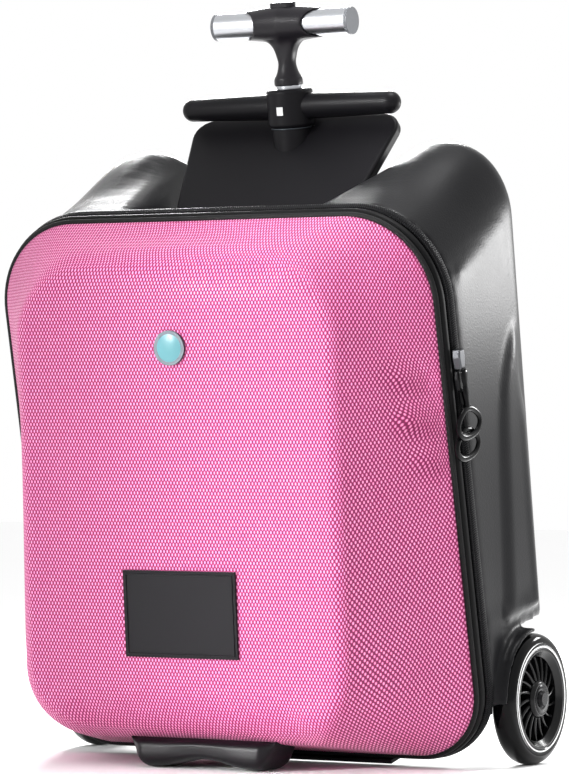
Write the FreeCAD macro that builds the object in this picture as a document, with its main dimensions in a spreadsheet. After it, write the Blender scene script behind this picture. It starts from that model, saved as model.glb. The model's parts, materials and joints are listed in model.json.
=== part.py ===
import FreeCAD, Part
import Sketcher
import math
import os
import re

# Ride-on suitcase: a hard rear shell with two wings and a seat plate, a soft front cover closed by a zip,
# two scooter wheels, a front foot and a telescopic T handle.
# Case frame: origin between the wheels, just in front of the axle, X to the right, Y to the rear, Z up the pole.
# The whole case then leans forward by lean_angle, and stands with its box centred on the origin.

SIZES = [
    ("lean_angle", 9.0, "forward lean of the pole when the case stands"),
    ("wall", 3.5, "wall of the rear shell"),
    ("slack", 0.3, "gap between neighbours that do not touch"),
    ("run_fit", 0.05, "radial running clearance"),
    ("zip_y", -36.8, "zip plane at axle height"),
    ("zip_lean", 3.5, "lean of the zip plane against the pole"),
    ("zip_top", 386.0, "top of the zip band along its plane"),
    ("zip_bottom", -40.0, "bottom of the zip band along its plane"),
    ("zip_half_width", 193.5, "half width of the rear zip band"),
    ("zip_corner_top", 74.0, "upper corner radius of the zip band"),
    ("zip_corner_bottom", 58.0, "lower corner radius of the zip band"),
    ("band_depth", 11.0, "depth of each zip band across the zip plane"),
    ("band_width", 9.0, "width of the zip bands in their plane"),
    ("binding_step", 2.0, "front binding set in from the rear band"),
    ("rim_step", 1.5, "shell rim set in from the rear band"),
    ("rear_y", 95.0, "rear wall"),
    ("rear_top", 419.5, "height of the wings at the rear wall"),
    ("rear_half_width", 182.0, "half width at the rear wall"),
    ("rear_corner_top", 50.0, "shoulder radius at the rear wall"),
    ("rear_corner_bottom", 40.0, "lower corner radius at the rear wall"),
    ("rear_round", 26.0, "rounding of the rear edges"),
    ("valley_floor", 362.0, "floor between the wings"),
    ("valley_top", 460.0, "upper end of the valley cut"),
    ("valley_front_y", -47.0, "front end of the valley"),
    ("valley_rear_y", 115.0, "rear end of the valley cut"),
    ("valley_mid_y", -20.0, "where the valley floor starts to rise to the front"),
    ("valley_front_floor", 380.0, "valley floor at its front end"),
    ("valley_front_half", 80.0, "half width of the valley floor at its front end"),
    ("valley_mid_half", 73.0, "half width of the valley floor where it starts to rise"),
    ("valley_rear_half", 92.0, "half width of the valley floor at the rear"),
    ("crest_radius", 28.0, "rounding of the wing crests"),
    ("crest_front_in", 83.0, "start of the crest at the front end"),
    ("crest_front_low", 381.5, "start of the crest at the front end"),
    ("crest_front_out", 95.0, "end of the crest at the front end"),
    ("crest_front_high", 387.7, "end of the crest at the front end"),
    ("crest_mid_in", 80.5, "start of the crest where the floor starts to rise"),
    ("crest_mid_low", 378.7, "start of the crest where the floor starts to rise"),
    ("crest_mid_out", 100.5, "end of the crest where the floor starts to rise"),
    ("crest_mid_high", 393.2, "end of the crest where the floor starts to rise"),
    ("crest_rear_in", 108.0, "start of the crest at the rear"),
    ("crest_rear_low", 411.0, "start of the crest at the rear"),
    ("crest_rear_out", 128.0, "end of the crest at the rear"),
    ("crest_rear_high", 425.8, "end of the crest at the rear"),
    ("arch_low_y", -24.0, "wheel recess, lower front"),
    ("arch_low_z", -60.0, "wheel recess, below the shell"),
    ("arch_mid_y", -16.0, "wheel recess, in front of the axle"),
    ("arch_mid_z", 5.0, "wheel recess, in front of the axle"),
    ("arch_top_y", 24.0, "wheel recess, above the axle"),
    ("arch_top_z", 50.0, "wheel recess ceiling"),
    ("well_gap", 1.5, "gap between a wheel and its well"),
    ("well_x", 180.5, "inner face of the wheel wells"),
    ("hip_base_x", 178.0, "foot of the raised hip on the side wall"),
    ("hip_top_x", 191.5, "top of the raised hip"),
    ("guard_inner", 51.7, "inner radius of the wheel guard"),
    ("guard_thickness", 3.0, "thickness of the wheel guard"),
    ("guard_outer_x", 202.0, "outer end of the wheel guard"),
    ("guard_inner_x", 182.0, "root of the wheel guard in the wheel well"),
    ("guard_start", 86.0, "angle of the guard's rear tip from the rear"),
    ("guard_sweep", 88.0, "angle covered by the guard"),
    ("plate_slope", 43.5, "slope of the seat plate"),
    ("plate_top_y", 84.0, "upper edge of the seat plate"),
    ("plate_top_z", 442.0, "upper edge of the seat plate"),
    ("plate_length", 104.0, "length of the seat plate down its slope"),
    ("plate_thickness", 8.0, "thickness of the seat plate"),
    ("plate_half_top", 94.0, "half width of the seat plate at the top"),
    ("plate_half_low", 77.0, "half width of the seat plate at the bottom"),
    ("plate_corner", 16.0, "corner radius of the seat plate"),
    ("plate_edge", 3.0, "edge rounding of the seat plate"),
    ("hump_half_width", 58.0, "half width of the seat support"),
    ("hump_rear_y", 91.0, "rear face of the seat support"),
    ("pole_y", 72.0, "pole axis"),
    ("pole_radius", 11.5, "outer tube of the pole"),
    ("pole_wall", 1.1, "wall of the outer tube"),
    ("pole_bottom", 66.0, "lower end of the outer tube"),
    ("pole_top", 462.0, "upper end of the outer tube"),
    ("inner_radius", 9.75, "inner tube of the pole"),
    ("inner_wall", 1.2, "wall of the inner tube"),
    ("inner_bottom", 96.0, "lower end of the inner tube"),
    ("inner_top", 472.0, "upper end of the inner tube"),
    ("pole_stroke", 320.0, "travel of the handle"),
    ("bush_length", 22.0, "length of the guide bush"),
    ("collar_radius", 15.2, "collar below the cross bar"),
    ("collar_bottom", 398.0, "lower end of the collar"),
    ("sleeve_radius", 18.0, "sleeve of the cross bar"),
    ("sleeve_bottom", 434.5, "lower face of the sleeve"),
    ("sleeve_top", 464.5, "upper face of the sleeve"),
    ("sleeve_round", 3.0, "edge rounding of the sleeve"),
    ("bar_z", 450.3, "axis of the cross bar"),
    ("bar_radius", 8.8, "radius of the cross bar"),
    ("bar_half_length", 96.5, "half length of the cross bar"),
    ("bar_flare_radius", 10.2, "cross bar where it meets the sleeve"),
    ("bar_flare_start", 84.0, "cross bar where its flare starts"),
    ("window_width", 5.6, "window in the sleeve"),
    ("window_height", 6.6, "window in the sleeve"),
    ("window_z", 448.0, "middle of the window"),
    ("lock_depth", 4.0, "depth of the lock button"),
    ("lock_sunk", 0.4, "lock button below the sleeve's face"),
    ("grip_z", 514.5, "axis of the T grip"),
    ("grip_radius", 10.6, "radius of the grip tubes"),
    ("grip_wall", 1.5, "wall of the grip tubes"),
    ("grip_inner_x", 12.0, "inner end of the grip tubes"),
    ("grip_outer_x", 58.0, "outer end of the grip tubes"),
    ("cap_thickness", 2.5, "visible thickness of the end caps"),
    ("cap_plug", 5.0, "length of the end cap plugs"),
    ("head_half_length", 32.0, "half length of the T head"),
    ("head_end_radius", 11.7, "T head over the grip tubes"),
    ("head_mid_radius", 15.2, "T head in the middle"),
    ("scallop_radius", 10.5, "hollow in each end of the T head"),
    ("neck_bottom", 466.5, "flange under the neck"),
    ("neck_flange_radius", 11.2, "flange under the neck"),
    ("neck_flange_height", 6.0, "flange under the neck"),
    ("neck_waist_radius", 7.0, "neck at its waist"),
    ("neck_waist_z", 487.0, "neck at its waist"),
    ("neck_top_radius", 10.5, "neck where it joins the head"),
    ("neck_top_z", 503.5, "neck where it joins the head"),
    ("neck_curve", 27.2, "radius of the neck's lower hollow"),
    ("neck_web_half", 17.5, "half width of the web where the neck joins the head"),
    ("neck_web_curve", 18.3, "radius of the web's hollow sides"),
    ("neck_web_depth", 13.6, "depth of the web from front to back"),
    ("rod_radius", 2.5, "release rod"),
    ("rod_bore", 2.8, "bore for the release rod"),
    ("button_half_length", 10.5, "release button"),
    ("button_half_width", 5.5, "release button"),
    ("button_bottom", 519.0, "lower face of the release button"),
    ("button_top", 531.5, "upper face of the release button"),
    ("button_travel", 3.0, "travel of the release button"),
    ("shoe_radius", 10.3, "slide shoe on the inner tube"),
    ("shoe_bottom", 88.0, "lower face of the slide shoe"),
    ("shoe_plug", 20.0, "slide shoe inside the inner tube"),
    ("latch_radius", 2.0, "latch pin"),
    ("latch_z", 92.0, "latch pin height"),
    ("latch_reach", 11.3, "latch pin's outer end from the pole axis"),
    ("latch_length", 8.0, "latch pin"),
    ("latch_hole", 2.4, "half width of the keyway that the latch pin rides in"),
    ("socket_radius", 16.0, "socket that holds the pole's foot"),
    ("socket_top", 86.0, "upper end of the socket"),
    ("wheel_radius", 50.0, "wheel"),
    ("wheel_width", 20.0, "wheel"),
    ("wheel_inner_x", 183.0, "inner face of the wheel"),
    ("axle_y", 29.4, "axle behind the case's origin"),
    ("axle_z", -4.65, "axle above the case's origin"),
    ("tyre_inner", 38.0, "inner radius of the tyre"),
    ("tyre_shoulder", 43.0, "radius of the tyre at its faces"),
    ("rim_inner", 31.0, "inner radius of the hub's rim"),
    ("boss_radius", 14.5, "hub boss"),
    ("bearing_radius", 11.0, "ball bearing, outside"),
    ("bearing_width", 7.0, "ball bearing"),
    ("spoke_count", 12.0, "spokes"),
    ("spoke_width", 3.2, "width of a spoke"),
    ("spoke_sweep", 7.0, "sideways sweep of a spoke"),
    ("spoke_depth", 12.0, "depth of a spoke along the axle"),
    ("axle_radius", 4.0, "axle"),
    ("axle_overhang", 1.0, "axle beyond the wheel"),
    ("bolt_radius", 6.2, "axle bolt head"),
    ("bolt_height", 2.6, "axle bolt head"),
    ("saddle_inner_x", 133.0, "axle saddle, inner face"),
    ("saddle_outer_x", 168.0, "axle saddle, outer face"),
    ("saddle_reach", 11.0, "axle saddle round the axle"),
    ("spacer_radius", 7.0, "axle spacer"),
    ("cover_step", 6.5, "cover edge set in from the rear band"),
    ("cover_wall", 4.0, "wall of the front cover"),
    ("front_y", -158.4, "front face at axle height"),
    ("front_lean", 4.5, "front face leans back against the pole"),
    ("front_top", 352.0, "top of the front face"),
    ("front_bottom", 0.0, "bottom of the front face"),
    ("front_half_width", 135.0, "half width of the front face"),
    ("front_corner_top", 58.0, "upper corner radius of the front face"),
    ("front_corner_bottom", 52.0, "lower corner radius of the front face"),
    ("front_round", 24.0, "rounding of the front edges"),
    ("badge_z", 291.0, "middle of the badge on the front face"),
    ("badge_radius", 13.0, "badge"),
    ("badge_rim", 2.6, "width of the badge's rim"),
    ("badge_height", 2.4, "height of the badge's rim"),
    ("badge_disc_height", 1.6, "height of the badge's disc"),
    ("label_bottom", 60.0, "lower edge of the label plate"),
    ("label_top", 125.0, "upper edge of the label plate"),
    ("label_half_width", 48.5, "half width of the label plate"),
    ("label_height", 2.0, "thickness of the label plate"),
    ("foot_half_width", 73.0, "half width of the foot"),
    ("foot_front_y", -142.0, "front of the foot"),
    ("foot_depth", 44.0, "depth of the foot"),
    ("foot_shoulder_z", -6.0, "foot where its ends start"),
    ("foot_end_radius", 26.0, "rounding of the foot's ends"),
    ("foot_top_z", 8.0, "top of the foot before it is fitted to the cover"),
    ("foot_lobe_outer", 60.0, "outer end of a lobe"),
    ("foot_lobe_inner", 30.0, "inner end of a lobe"),
    ("foot_lobe_z", -28.0, "ends of a lobe"),
    ("foot_lobe_radius", 18.5, "radius of a lobe"),
    ("foot_arch_radius", 78.0, "radius of the arch between the lobes"),
    ("tape_half_width", 110.0, "half width of the hinge tape"),
    ("tape_thickness", 0.8, "hinge tape"),
    ("slider_upper_v", 262.0, "lower end of the upper zip slider"),
    ("slider_gap", 16.0, "lower slider below the upper one"),
    ("slider_height", 14.0, "zip slider along the zip"),
    ("slider_half_width", 4.5, "zip slider across the zip"),
    ("slider_round", 1.2, "rounding of the sliders"),
    ("pull_thickness", 2.5, "zip pull"),
    ("pull_link", 30.0, "length of the pull's link"),
    ("pull_half_width", 4.5, "half width of the pull's link"),
    ("ring_half_width", 16.0, "half width of the pull's ring"),
    ("ring_height", 26.0, "height of the pull's ring"),
    ("ring_bar", 4.5, "bar of the pull's ring"),
    ("upper_pull_lift", 4.8, "upper pull off the band"),
    ("lower_pull_lift", 2.0, "lower pull off the band"),
    ("frame_shift_y", 0.0, "places the case's box on the origin, worked out below"),
]
ALIASES = [alias for alias, value, note in SIZES]
VALUE_CELL = {alias: "B%d" % row for row, alias in enumerate(ALIASES, start=1)}
EXTENT_STEP = 0.2
THROUGH = "600"
LIFT = "(wheel_radius - axle_y * sin(lean_angle) - axle_z * cos(lean_angle))"
TREAD = "(wheel_radius - tyre_shoulder)"
TYRE_CROWN = "((wheel_width / 2) ^ 2 + %s ^ 2) / (2 * %s)" % (TREAD, TREAD)
AXLE_SHIFT = ("0", "axle_y", "axle_z")
HIP_BASE = [("-12", "62"), ("-2", "150"), ("10", "225"), ("50", "290"), ("84", "230"), ("86", "62")]
HIP_TOP = [("4", "62"), ("13", "150"), ("26", "212"), ("46", "244"), ("58", "200"), ("60", "62")]

V = FreeCAD.Vector
doc = FreeCAD.newDocument("ride_on_suitcase")
sheet = doc.addObject("Spreadsheet::Sheet", "dims")
nodes = []


def fill_sheet():
    for row, (alias, value, note) in enumerate(SIZES, start=1):
        sheet.set("A%d" % row, note)
        sheet.set(VALUE_CELL[alias], str(value))
        sheet.setAlias(VALUE_CELL[alias], alias)
    doc.recompute()


def bound(text):
    """An expression with every size looked up in the sheet."""
    return re.sub(r"[a-z_]+", lambda m: "dims." + m.group(0) if m.group(0) in ALIASES else m.group(0), text)


def val(text):
    """The present value of an expression."""
    return float(sheet.evalExpression(bound(text)))


def signed(side, text):
    """The expression for the right side, or its mirror image for the left."""
    return "(%s)" % text if side > 0 else "-(%s)" % text


# Sketches

def pin(sketch, geo, pos, x, y):
    """Fix a point of a sketch by two bound coordinates."""
    for kind, text in (("DistanceX", x), ("DistanceY", y)):
        index = sketch.addConstraint(Sketcher.Constraint(kind, -1, 1, geo, pos, val(text)))
        name = "%s_%d_%d" % (kind, geo, pos)
        sketch.renameConstraint(index, name)
        sketch.setExpression("Constraints." + name, bound(text))


def limit_radius(sketch, geo, radius):
    index = sketch.addConstraint(Sketcher.Constraint("Radius", geo, val(radius)))
    name = "radius_%d" % geo
    sketch.renameConstraint(index, name)
    sketch.setExpression("Constraints." + name, bound(radius))


def arc_between(start, end, radius, side):
    """A minor arc whose bulge lies left (side 1) or right (side -1) of the way from start to end."""
    chord = end - start
    reach = math.sqrt(max(radius ** 2 - chord.Length ** 2 / 4.0, 0.0))
    centre = (start + end) * 0.5 - V(-chord.y, chord.x, 0).normalize() * (side * reach)
    angles = [math.atan2(spot.y - centre.y, spot.x - centre.x) for spot in (start, end)]
    if side > 0:
        angles.reverse()
    return Part.ArcOfCircle(Part.Circle(centre, V(0, 0, 1), radius), *angles)


def outline(sketch, points):
    """Closed outline: each point is (x, y), or (x, y, radius, side) where an arc leads to the next point."""
    spots = [V(val(p[0]), val(p[1]), 0) for p in points]
    first = sketch.GeometryCount
    ends = []
    for i, point in enumerate(points):
        start, end = spots[i], spots[(i + 1) % len(points)]
        if len(point) == 2:
            sketch.addGeometry(Part.LineSegment(start, end), False)
            ends.append((1, 2))
        else:
            sketch.addGeometry(arc_between(start, end, val(point[2]), point[3]), False)
            ends.append((2, 1) if point[3] > 0 else (1, 2))
    for i, point in enumerate(points):
        following = (i + 1) % len(points)
        joint = ("Coincident", first + i, ends[i][1], first + following, ends[following][0])
        sketch.addConstraint(Sketcher.Constraint(*joint))
        pin(sketch, first + i, ends[i][0], point[0], point[1])
        if len(point) > 2:
            limit_radius(sketch, first + i, point[2])


def circle(sketch, x, y, radius):
    geo = sketch.addGeometry(Part.Circle(V(val(x), val(y), 0), V(0, 0, 1), val(radius)), False)
    limit_radius(sketch, geo, radius)
    pin(sketch, geo, 3, x, y)


def rounded_rectangle(sketch, half_width, top, bottom, corner_top, corner_bottom):
    """Rectangle about the vertical axis, with one radius for its upper and one for its lower corners."""
    half, high, low = val(half_width), val(top), val(bottom)
    upper, lower = val(corner_top), val(corner_bottom)
    corners = [(half, high, upper, 0), (-half, high, upper, 90), (-half, low, lower, 180), (half, low, lower, 270)]
    for x, y, radius, angle in corners:
        centre = V(x - math.copysign(radius, x), y - math.copysign(radius, y - (high + low) / 2), 0)
        turn = (math.radians(angle), math.radians(angle + 90))
        sketch.addGeometry(Part.ArcOfCircle(Part.Circle(centre, V(0, 0, 1), radius), *turn), False)
    for i in range(4):
        start, end = sketch.Geometry[i].EndPoint, sketch.Geometry[(i + 1) % 4].StartPoint
        sketch.addGeometry(Part.LineSegment(start, end), False)
    for i in range(4):
        sketch.addConstraint(Sketcher.Constraint("Tangent", i, 2, 4 + i, 1))
        sketch.addConstraint(Sketcher.Constraint("Tangent", 4 + i, 2, (i + 1) % 4, 1))
    for line, kind in ((4, "Horizontal"), (5, "Vertical"), (6, "Horizontal"), (7, "Vertical")):
        sketch.addConstraint(Sketcher.Constraint(kind, line))
    for geo, radius in ((0, corner_top), (1, corner_top), (2, corner_bottom), (3, corner_bottom)):
        limit_radius(sketch, geo, radius)
    sides = ((4, "DistanceY", top), (6, "DistanceY", bottom), (7, "DistanceX", half_width),
             (5, "DistanceX", "-(%s)" % half_width))
    for line, kind, text in sides:
        index = sketch.addConstraint(Sketcher.Constraint(kind, -1, 1, line, 1, val(text)))
        sketch.renameConstraint(index, "side_%d" % line)
        sketch.setExpression("Constraints.side_%d" % line, bound(text))


def sketch_on(body, name, role, shift=("0", "0", "0"), tilt=None):
    """A sketch on one of the body's origin planes, moved and then turned about its own first axis."""
    sketch = body.newObject("Sketcher::SketchObject", name)
    plane = [item for item in body.Origin.OriginFeatures if item.Role == role][0]
    sketch.AttachmentSupport = [(plane, "")]
    sketch.MapMode = "FlatFace"
    if tilt:
        sketch.AttachmentOffset = FreeCAD.Placement(V(), FreeCAD.Rotation(V(1, 0, 0), val(tilt)))
        sketch.setExpression("AttachmentOffset.Rotation.Angle", bound(tilt))
    for axis, text in zip("xyz", shift):
        if text != "0":
            sketch.setExpression("AttachmentOffset.Base." + axis, bound(text))
    return sketch


def zip_sketch(body, name, forward):
    """A sketch parallel to the zip plane, moved forward along its normal."""
    shift = ("0", "-(%s) * sin(zip_lean)" % forward, "-zip_y + (%s) * cos(zip_lean)" % forward)
    return sketch_on(body, name, "XZ_Plane", shift, "zip_lean")


def front_sketch(body, name):
    """A sketch on the front face of the cover."""
    return sketch_on(body, name, "XZ_Plane", ("0", "0", "-front_y"), "-front_lean")


# Features

def new_body(name):
    body = doc.addObject("PartDesign::Body", name)
    body.Label = name
    return body


def pad(body, sketch, length, symmetric=False, reverse=False):
    feature = body.newObject("PartDesign::Pad", sketch.Name + "_pad")
    feature.Profile = sketch
    feature.setExpression("Length", bound(length))
    feature.SideType = "Symmetric" if symmetric else "One side"
    feature.Reversed = reverse
    return feature


def pocket(body, sketch, length, symmetric=False, reverse=False):
    feature = body.newObject("PartDesign::Pocket", sketch.Name + "_pocket")
    feature.Profile = sketch
    feature.setExpression("Length", bound(length))
    feature.SideType = "Symmetric" if symmetric else "One side"
    feature.Reversed = reverse
    return feature


def revolve(body, sketch, axis="V_Axis", angle="360"):
    feature = body.newObject("PartDesign::Revolution", sketch.Name + "_turn")
    feature.Profile = sketch
    feature.ReferenceAxis = (sketch, [axis])
    feature.setExpression("Angle", bound(angle))
    return feature


def loft(body, sketches, kind="PartDesign::AdditiveLoft", ruled=True):
    feature = body.newObject(kind, sketches[0].Name + "_loft")
    feature.Profile = sketches[0]
    feature.Sections = sketches[1:]
    feature.Ruled = ruled
    return feature


def fillet(body, base, radius, chosen):
    """Round the edges of the base feature whose middle point is chosen."""
    doc.recompute()
    names = []
    for index, edge in enumerate(base.Shape.Edges, start=1):
        middle = edge.valueAt((edge.FirstParameter + edge.LastParameter) / 2)
        if chosen(edge, middle):
            names.append("Edge%d" % index)
    feature = body.newObject("PartDesign::Fillet", base.Name + "_fillet")
    feature.Base = (base, names)
    feature.setExpression("Radius", bound(radius))
    return feature


def turned(name, profile, y="pole_y", body=None):
    """A solid turned about an upright axis: profile points are (radius, height)."""
    body = body or new_body(name)
    sketch = sketch_on(body, name + "_profile", "XZ_Plane", ("0", "0", "-(%s)" % y))
    outline(sketch, profile)
    return body, revolve(body, sketch)


def turned_on_axle(name, profile):
    """A solid turned about the axle: profile points are (x, radius)."""
    body = new_body(name)
    sketch = sketch_on(body, name + "_profile", "XY_Plane", AXLE_SHIFT)
    outline(sketch, profile)
    return body, revolve(body, sketch, "H_Axis")


def cut(name, base, tool):
    feature = doc.addObject("Part::Cut", name)
    feature.Base = base
    feature.Tool = tool
    feature.Label = name
    return feature


def upright_cylinder(name, radius, bottom, top, y="pole_y"):
    feature = doc.addObject("Part::Cylinder", name)
    feature.setExpression("Radius", bound(radius))
    feature.setExpression("Height", bound("(%s) - (%s)" % (top, bottom)))
    feature.setExpression("Placement.Base.y", bound(y))
    feature.setExpression("Placement.Base.z", bound(bottom))
    return feature


def group(name, members):
    """Several separate solids kept together as one node."""
    feature = doc.addObject("Part::Compound", name)
    feature.Links = members
    feature.Label = name
    return feature


def keep(item):
    """Stand a finished sub-part in the leaning case."""
    item.Placement = FreeCAD.Placement(V(), FreeCAD.Rotation(V(1, 0, 0), val("lean_angle")))
    item.setExpression("Placement.Rotation.Angle", bound("lean_angle"))
    item.setExpression("Placement.Base.y", bound("frame_shift_y"))
    item.setExpression("Placement.Base.z", bound(LIFT))
    nodes.append(item)
    return item


# Rear shell

RAMP = "(plate_top_z - plate_thickness / cos(plate_slope) + ((%s) - plate_top_y) * tan(plate_slope))"


def shell_section(body, name, place, inset, forward):
    """One section of the rear shell: at its rim or at its rear wall."""
    if place == "rim":
        sketch = zip_sketch(body, name + "_rim", forward)
        sizes = ("zip_half_width - rim_step", "zip_top - rim_step", "zip_corner_top - rim_step",
                 "zip_corner_bottom - rim_step")
    else:
        sketch = sketch_on(body, name + "_rear", "XZ_Plane", ("0", "0", "-rear_y + %s" % inset))
        sizes = ("rear_half_width", "rear_top", "rear_corner_top", "rear_corner_bottom")
    half_width, top, corner_top, corner_bottom = ["%s - %s" % (size, inset) for size in sizes]
    rounded_rectangle(sketch, half_width, top, "zip_bottom + rim_step + %s" % inset, corner_top, corner_bottom)
    return sketch


def valley_section(body, name, end, inset):
    """A section of the seat recess: a flat floor, sloping sides and rounded crests."""
    y = "valley_%s_y" % end + (" - %s" % inset if end == "front" else "")
    floor = "%s - %s" % ("valley_front_floor" if end == "front" else "valley_floor", inset)
    half = "valley_%s_half + %s" % (end, inset)
    near, far = ["crest_%s_%s + %s" % (end, place, inset) for place in ("in", "out")]
    low, high = ["crest_%s_%s - %s / 2" % (end, place, inset) for place in ("low", "high")]
    sketch = sketch_on(body, "%s_valley_%s" % (name, end), "XZ_Plane", ("0", "0", "-(%s)" % y))
    outline(sketch, [("-(%s)" % half, floor), (half, floor), (near, low, "crest_radius", 1), (far, high),
                     (far, "valley_top"), ("-(%s)" % far, "valley_top"),
                     ("-(%s)" % far, high, "crest_radius", 1), ("-(%s)" % near, low)])
    return sketch


def cut_valley(body, name, inset):
    """The seat recess between the wings, wider to the rear and shallow at its front end."""
    sections = [valley_section(body, name, end, inset) for end in ("rear", "mid", "front")]
    return loft(body, sections, "PartDesign::SubtractiveLoft")


def add_hump(body, name, inset):
    """The wedge under the seat plate, which also houses the pole."""
    sketch = sketch_on(body, name + "_hump", "YZ_Plane")
    root = "valley_floor - 3 * wall"
    rear = "hump_rear_y - %s" % inset
    lift = "%s - %s / cos(plate_slope)" % (RAMP % rear, inset)
    toe = "(%s) - ((%s) - (%s)) / tan(plate_slope)" % (rear, lift, root)
    outline(sketch, [(toe, root), (rear, root), (rear, lift)])
    return pad(body, sketch, "2 * (hump_half_width - %s)" % inset, symmetric=True)


def cut_wheel_recess(body, name, inset):
    """The open corner below the shell for the axle and the wheels."""
    sketch = sketch_on(body, name + "_recess", "YZ_Plane")
    far = "rear_y + 2 * rear_round"
    outline(sketch, [("arch_low_y - %s" % inset, "arch_low_z"),
                     ("arch_mid_y - %s" % inset, "arch_mid_z + %s / 2" % inset),
                     ("arch_top_y - %s / 2" % inset, "arch_top_z + %s" % inset),
                     (far, "arch_top_z + %s" % inset), (far, "arch_low_z")])
    return pocket(body, sketch, THROUGH, symmetric=True)


def cut_wheel_well(body, side, name, inset):
    """The round well that a wheel turns in, with a thick wall left round it."""
    sketch = sketch_on(body, name + "_well", "YZ_Plane", ("axle_y", "axle_z", signed(side, "well_x - %s" % inset)))
    circle(sketch, "0", "0", "wheel_radius + well_gap + 2 * %s" % inset)
    return pocket(body, sketch, "wheel_radius", reverse=side > 0)


def shell_form(name, inset, forward):
    """The moulded form of the rear shell, set in all round by a distance."""
    body = new_body(name)
    form = loft(body, [shell_section(body, name, place, inset, forward) for place in ("rear", "rim")])
    rear = val("rear_y - %s" % inset)
    fillet(body, form, "rear_round - %s" % inset, lambda edge, middle: abs(middle.y - rear) < 0.01)
    cut_valley(body, name, inset)
    add_hump(body, name, inset)
    cut_wheel_recess(body, name, inset)
    for side, hand in ((1, "right"), (-1, "left")):
        cut_wheel_well(body, side, "%s_%s" % (name, hand), inset)
    return body


def add_hip(body, side, name):
    """The raised hip on a side wall, with a sloping front that leads down to the wheel."""
    sections = []
    for level, points, x in (("base", HIP_BASE, "hip_base_x"), ("top", HIP_TOP, "hip_top_x")):
        sketch = sketch_on(body, "%s_hip_%s" % (name, level), "YZ_Plane", ("0", "0", signed(side, x)))
        outline(sketch, points)
        sections.append(sketch)
    return loft(body, sections)


def add_guard(body, side, name):
    """The guard over the front quarter of a wheel, which springs from the wheel well."""
    sketch = sketch_on(body, name + "_guard", "XY_Plane", AXLE_SHIFT, "guard_start")
    near, far = signed(side, "guard_inner_x"), signed(side, "guard_outer_x")
    edge = "guard_inner + guard_thickness"
    outline(sketch, [(near, "guard_inner"), (far, "guard_inner"), (far, edge), (near, edge)])
    return revolve(body, sketch, "H_Axis", "guard_sweep")


def back_shell():
    outer = shell_form("shell_outer", "0", "-band_depth")
    for side, name in ((1, "right"), (-1, "left")):
        add_hip(outer, side, name)
        add_guard(outer, side, name)
    core = shell_form("shell_core", "wall", "-band_depth")
    bore = upright_cylinder("shell_bore", "collar_radius + slack", "socket_top", "plate_top_z + collar_radius")
    notch = upright_cylinder("shell_notch", "sleeve_radius + slack", "sleeve_bottom - slack", "sleeve_top")
    drilled = cut("shell_drilled", cut("shell_hollow", outer, core), bore)
    return keep(cut("back_shell", drilled, notch))


def seat_plate():
    body = new_body("plate_blank")
    sketch = sketch_on(body, "plate_outline", "XY_Plane", ("0", "plate_top_y", "plate_top_z"), "plate_slope")
    low = "-plate_length"
    outline(sketch, [("-plate_half_low", low), ("plate_half_low", low), ("plate_half_top", "0"),
                     ("-plate_half_top", "0")])
    blank = pad(body, sketch, "plate_thickness", reverse=True)
    middle_of_thickness = val("plate_thickness") * 0.9
    corners = fillet(body, blank, "plate_corner",
                     lambda edge, middle: edge.Length < middle_of_thickness * 1.2)
    slope = math.radians(val("plate_slope"))
    normal = V(0, -math.sin(slope), math.cos(slope))
    level = normal.dot(V(0, val("plate_top_y"), val("plate_top_z")))
    fillet(body, corners, "plate_edge", lambda edge, middle: abs(normal.dot(middle) - level) < 0.01)
    hole = upright_cylinder("plate_bore", "collar_radius + slack", "valley_floor", "sleeve_top")
    notch = upright_cylinder("plate_notch", "sleeve_radius + slack", "sleeve_bottom - slack", "sleeve_top")
    return keep(cut("seat_plate", cut("plate_drilled", body, hole), notch))


# Pole and handle

def cross_bar():
    """The child's handle: two arms and a sleeve with a window for the lock button."""
    body = new_body("crossbar")
    arms = sketch_on(body, "crossbar_arms", "XZ_Plane", ("0", "bar_z", "-pole_y"))
    knuckle = "bar_half_length - bar_radius"
    outline(arms, [("-bar_half_length", "0", "bar_radius", 1), ("-(%s)" % knuckle, "bar_radius"),
                   ("-bar_flare_start", "bar_radius"), ("-sleeve_radius", "bar_flare_radius"),
                   ("sleeve_radius", "bar_flare_radius"), ("bar_flare_start", "bar_radius"),
                   (knuckle, "bar_radius", "bar_radius", 1), ("bar_half_length", "0")])
    revolve(body, arms, "H_Axis")
    profile = [("0", "sleeve_bottom"), ("sleeve_radius", "sleeve_bottom"), ("sleeve_radius", "sleeve_top"),
               ("0", "sleeve_top")]
    sleeve = turned("crossbar_sleeve", profile, body=body)[1]
    ends = (val("sleeve_bottom"), val("sleeve_top"))
    fillet(body, sleeve, "sleeve_round",
           lambda edge, middle: min(abs(middle.z - end) for end in ends) < 0.01)
    bore = sketch_on(body, "crossbar_bore", "XY_Plane", ("0", "pole_y", "sleeve_bottom"))
    circle(bore, "0", "0", "pole_radius")
    pocket(body, bore, "4 * sleeve_radius", symmetric=True)
    window = sketch_on(body, "crossbar_window", "XZ_Plane", ("0", "window_z", "-pole_y"))
    outline(window, box_points("window_width / 2", "window_height / 2"))
    pocket(body, window, "sleeve_radius + bar_radius", reverse=True)
    return keep(body)


def box_points(half_width, half_height):
    return [("-(%s)" % half_width, "-(%s)" % half_height), (half_width, "-(%s)" % half_height),
            (half_width, half_height), ("-(%s)" % half_width, half_height)]


def lock_button():
    body = new_body("lock_button")
    face = "-pole_y + sleeve_radius - lock_sunk"
    sketch = sketch_on(body, "lock_outline", "XZ_Plane", ("0", "window_z", face))
    outline(sketch, box_points("window_width / 2 - run_fit", "window_height / 2 - run_fit"))
    pad(body, sketch, "lock_depth", reverse=True)
    return keep(body)


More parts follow.
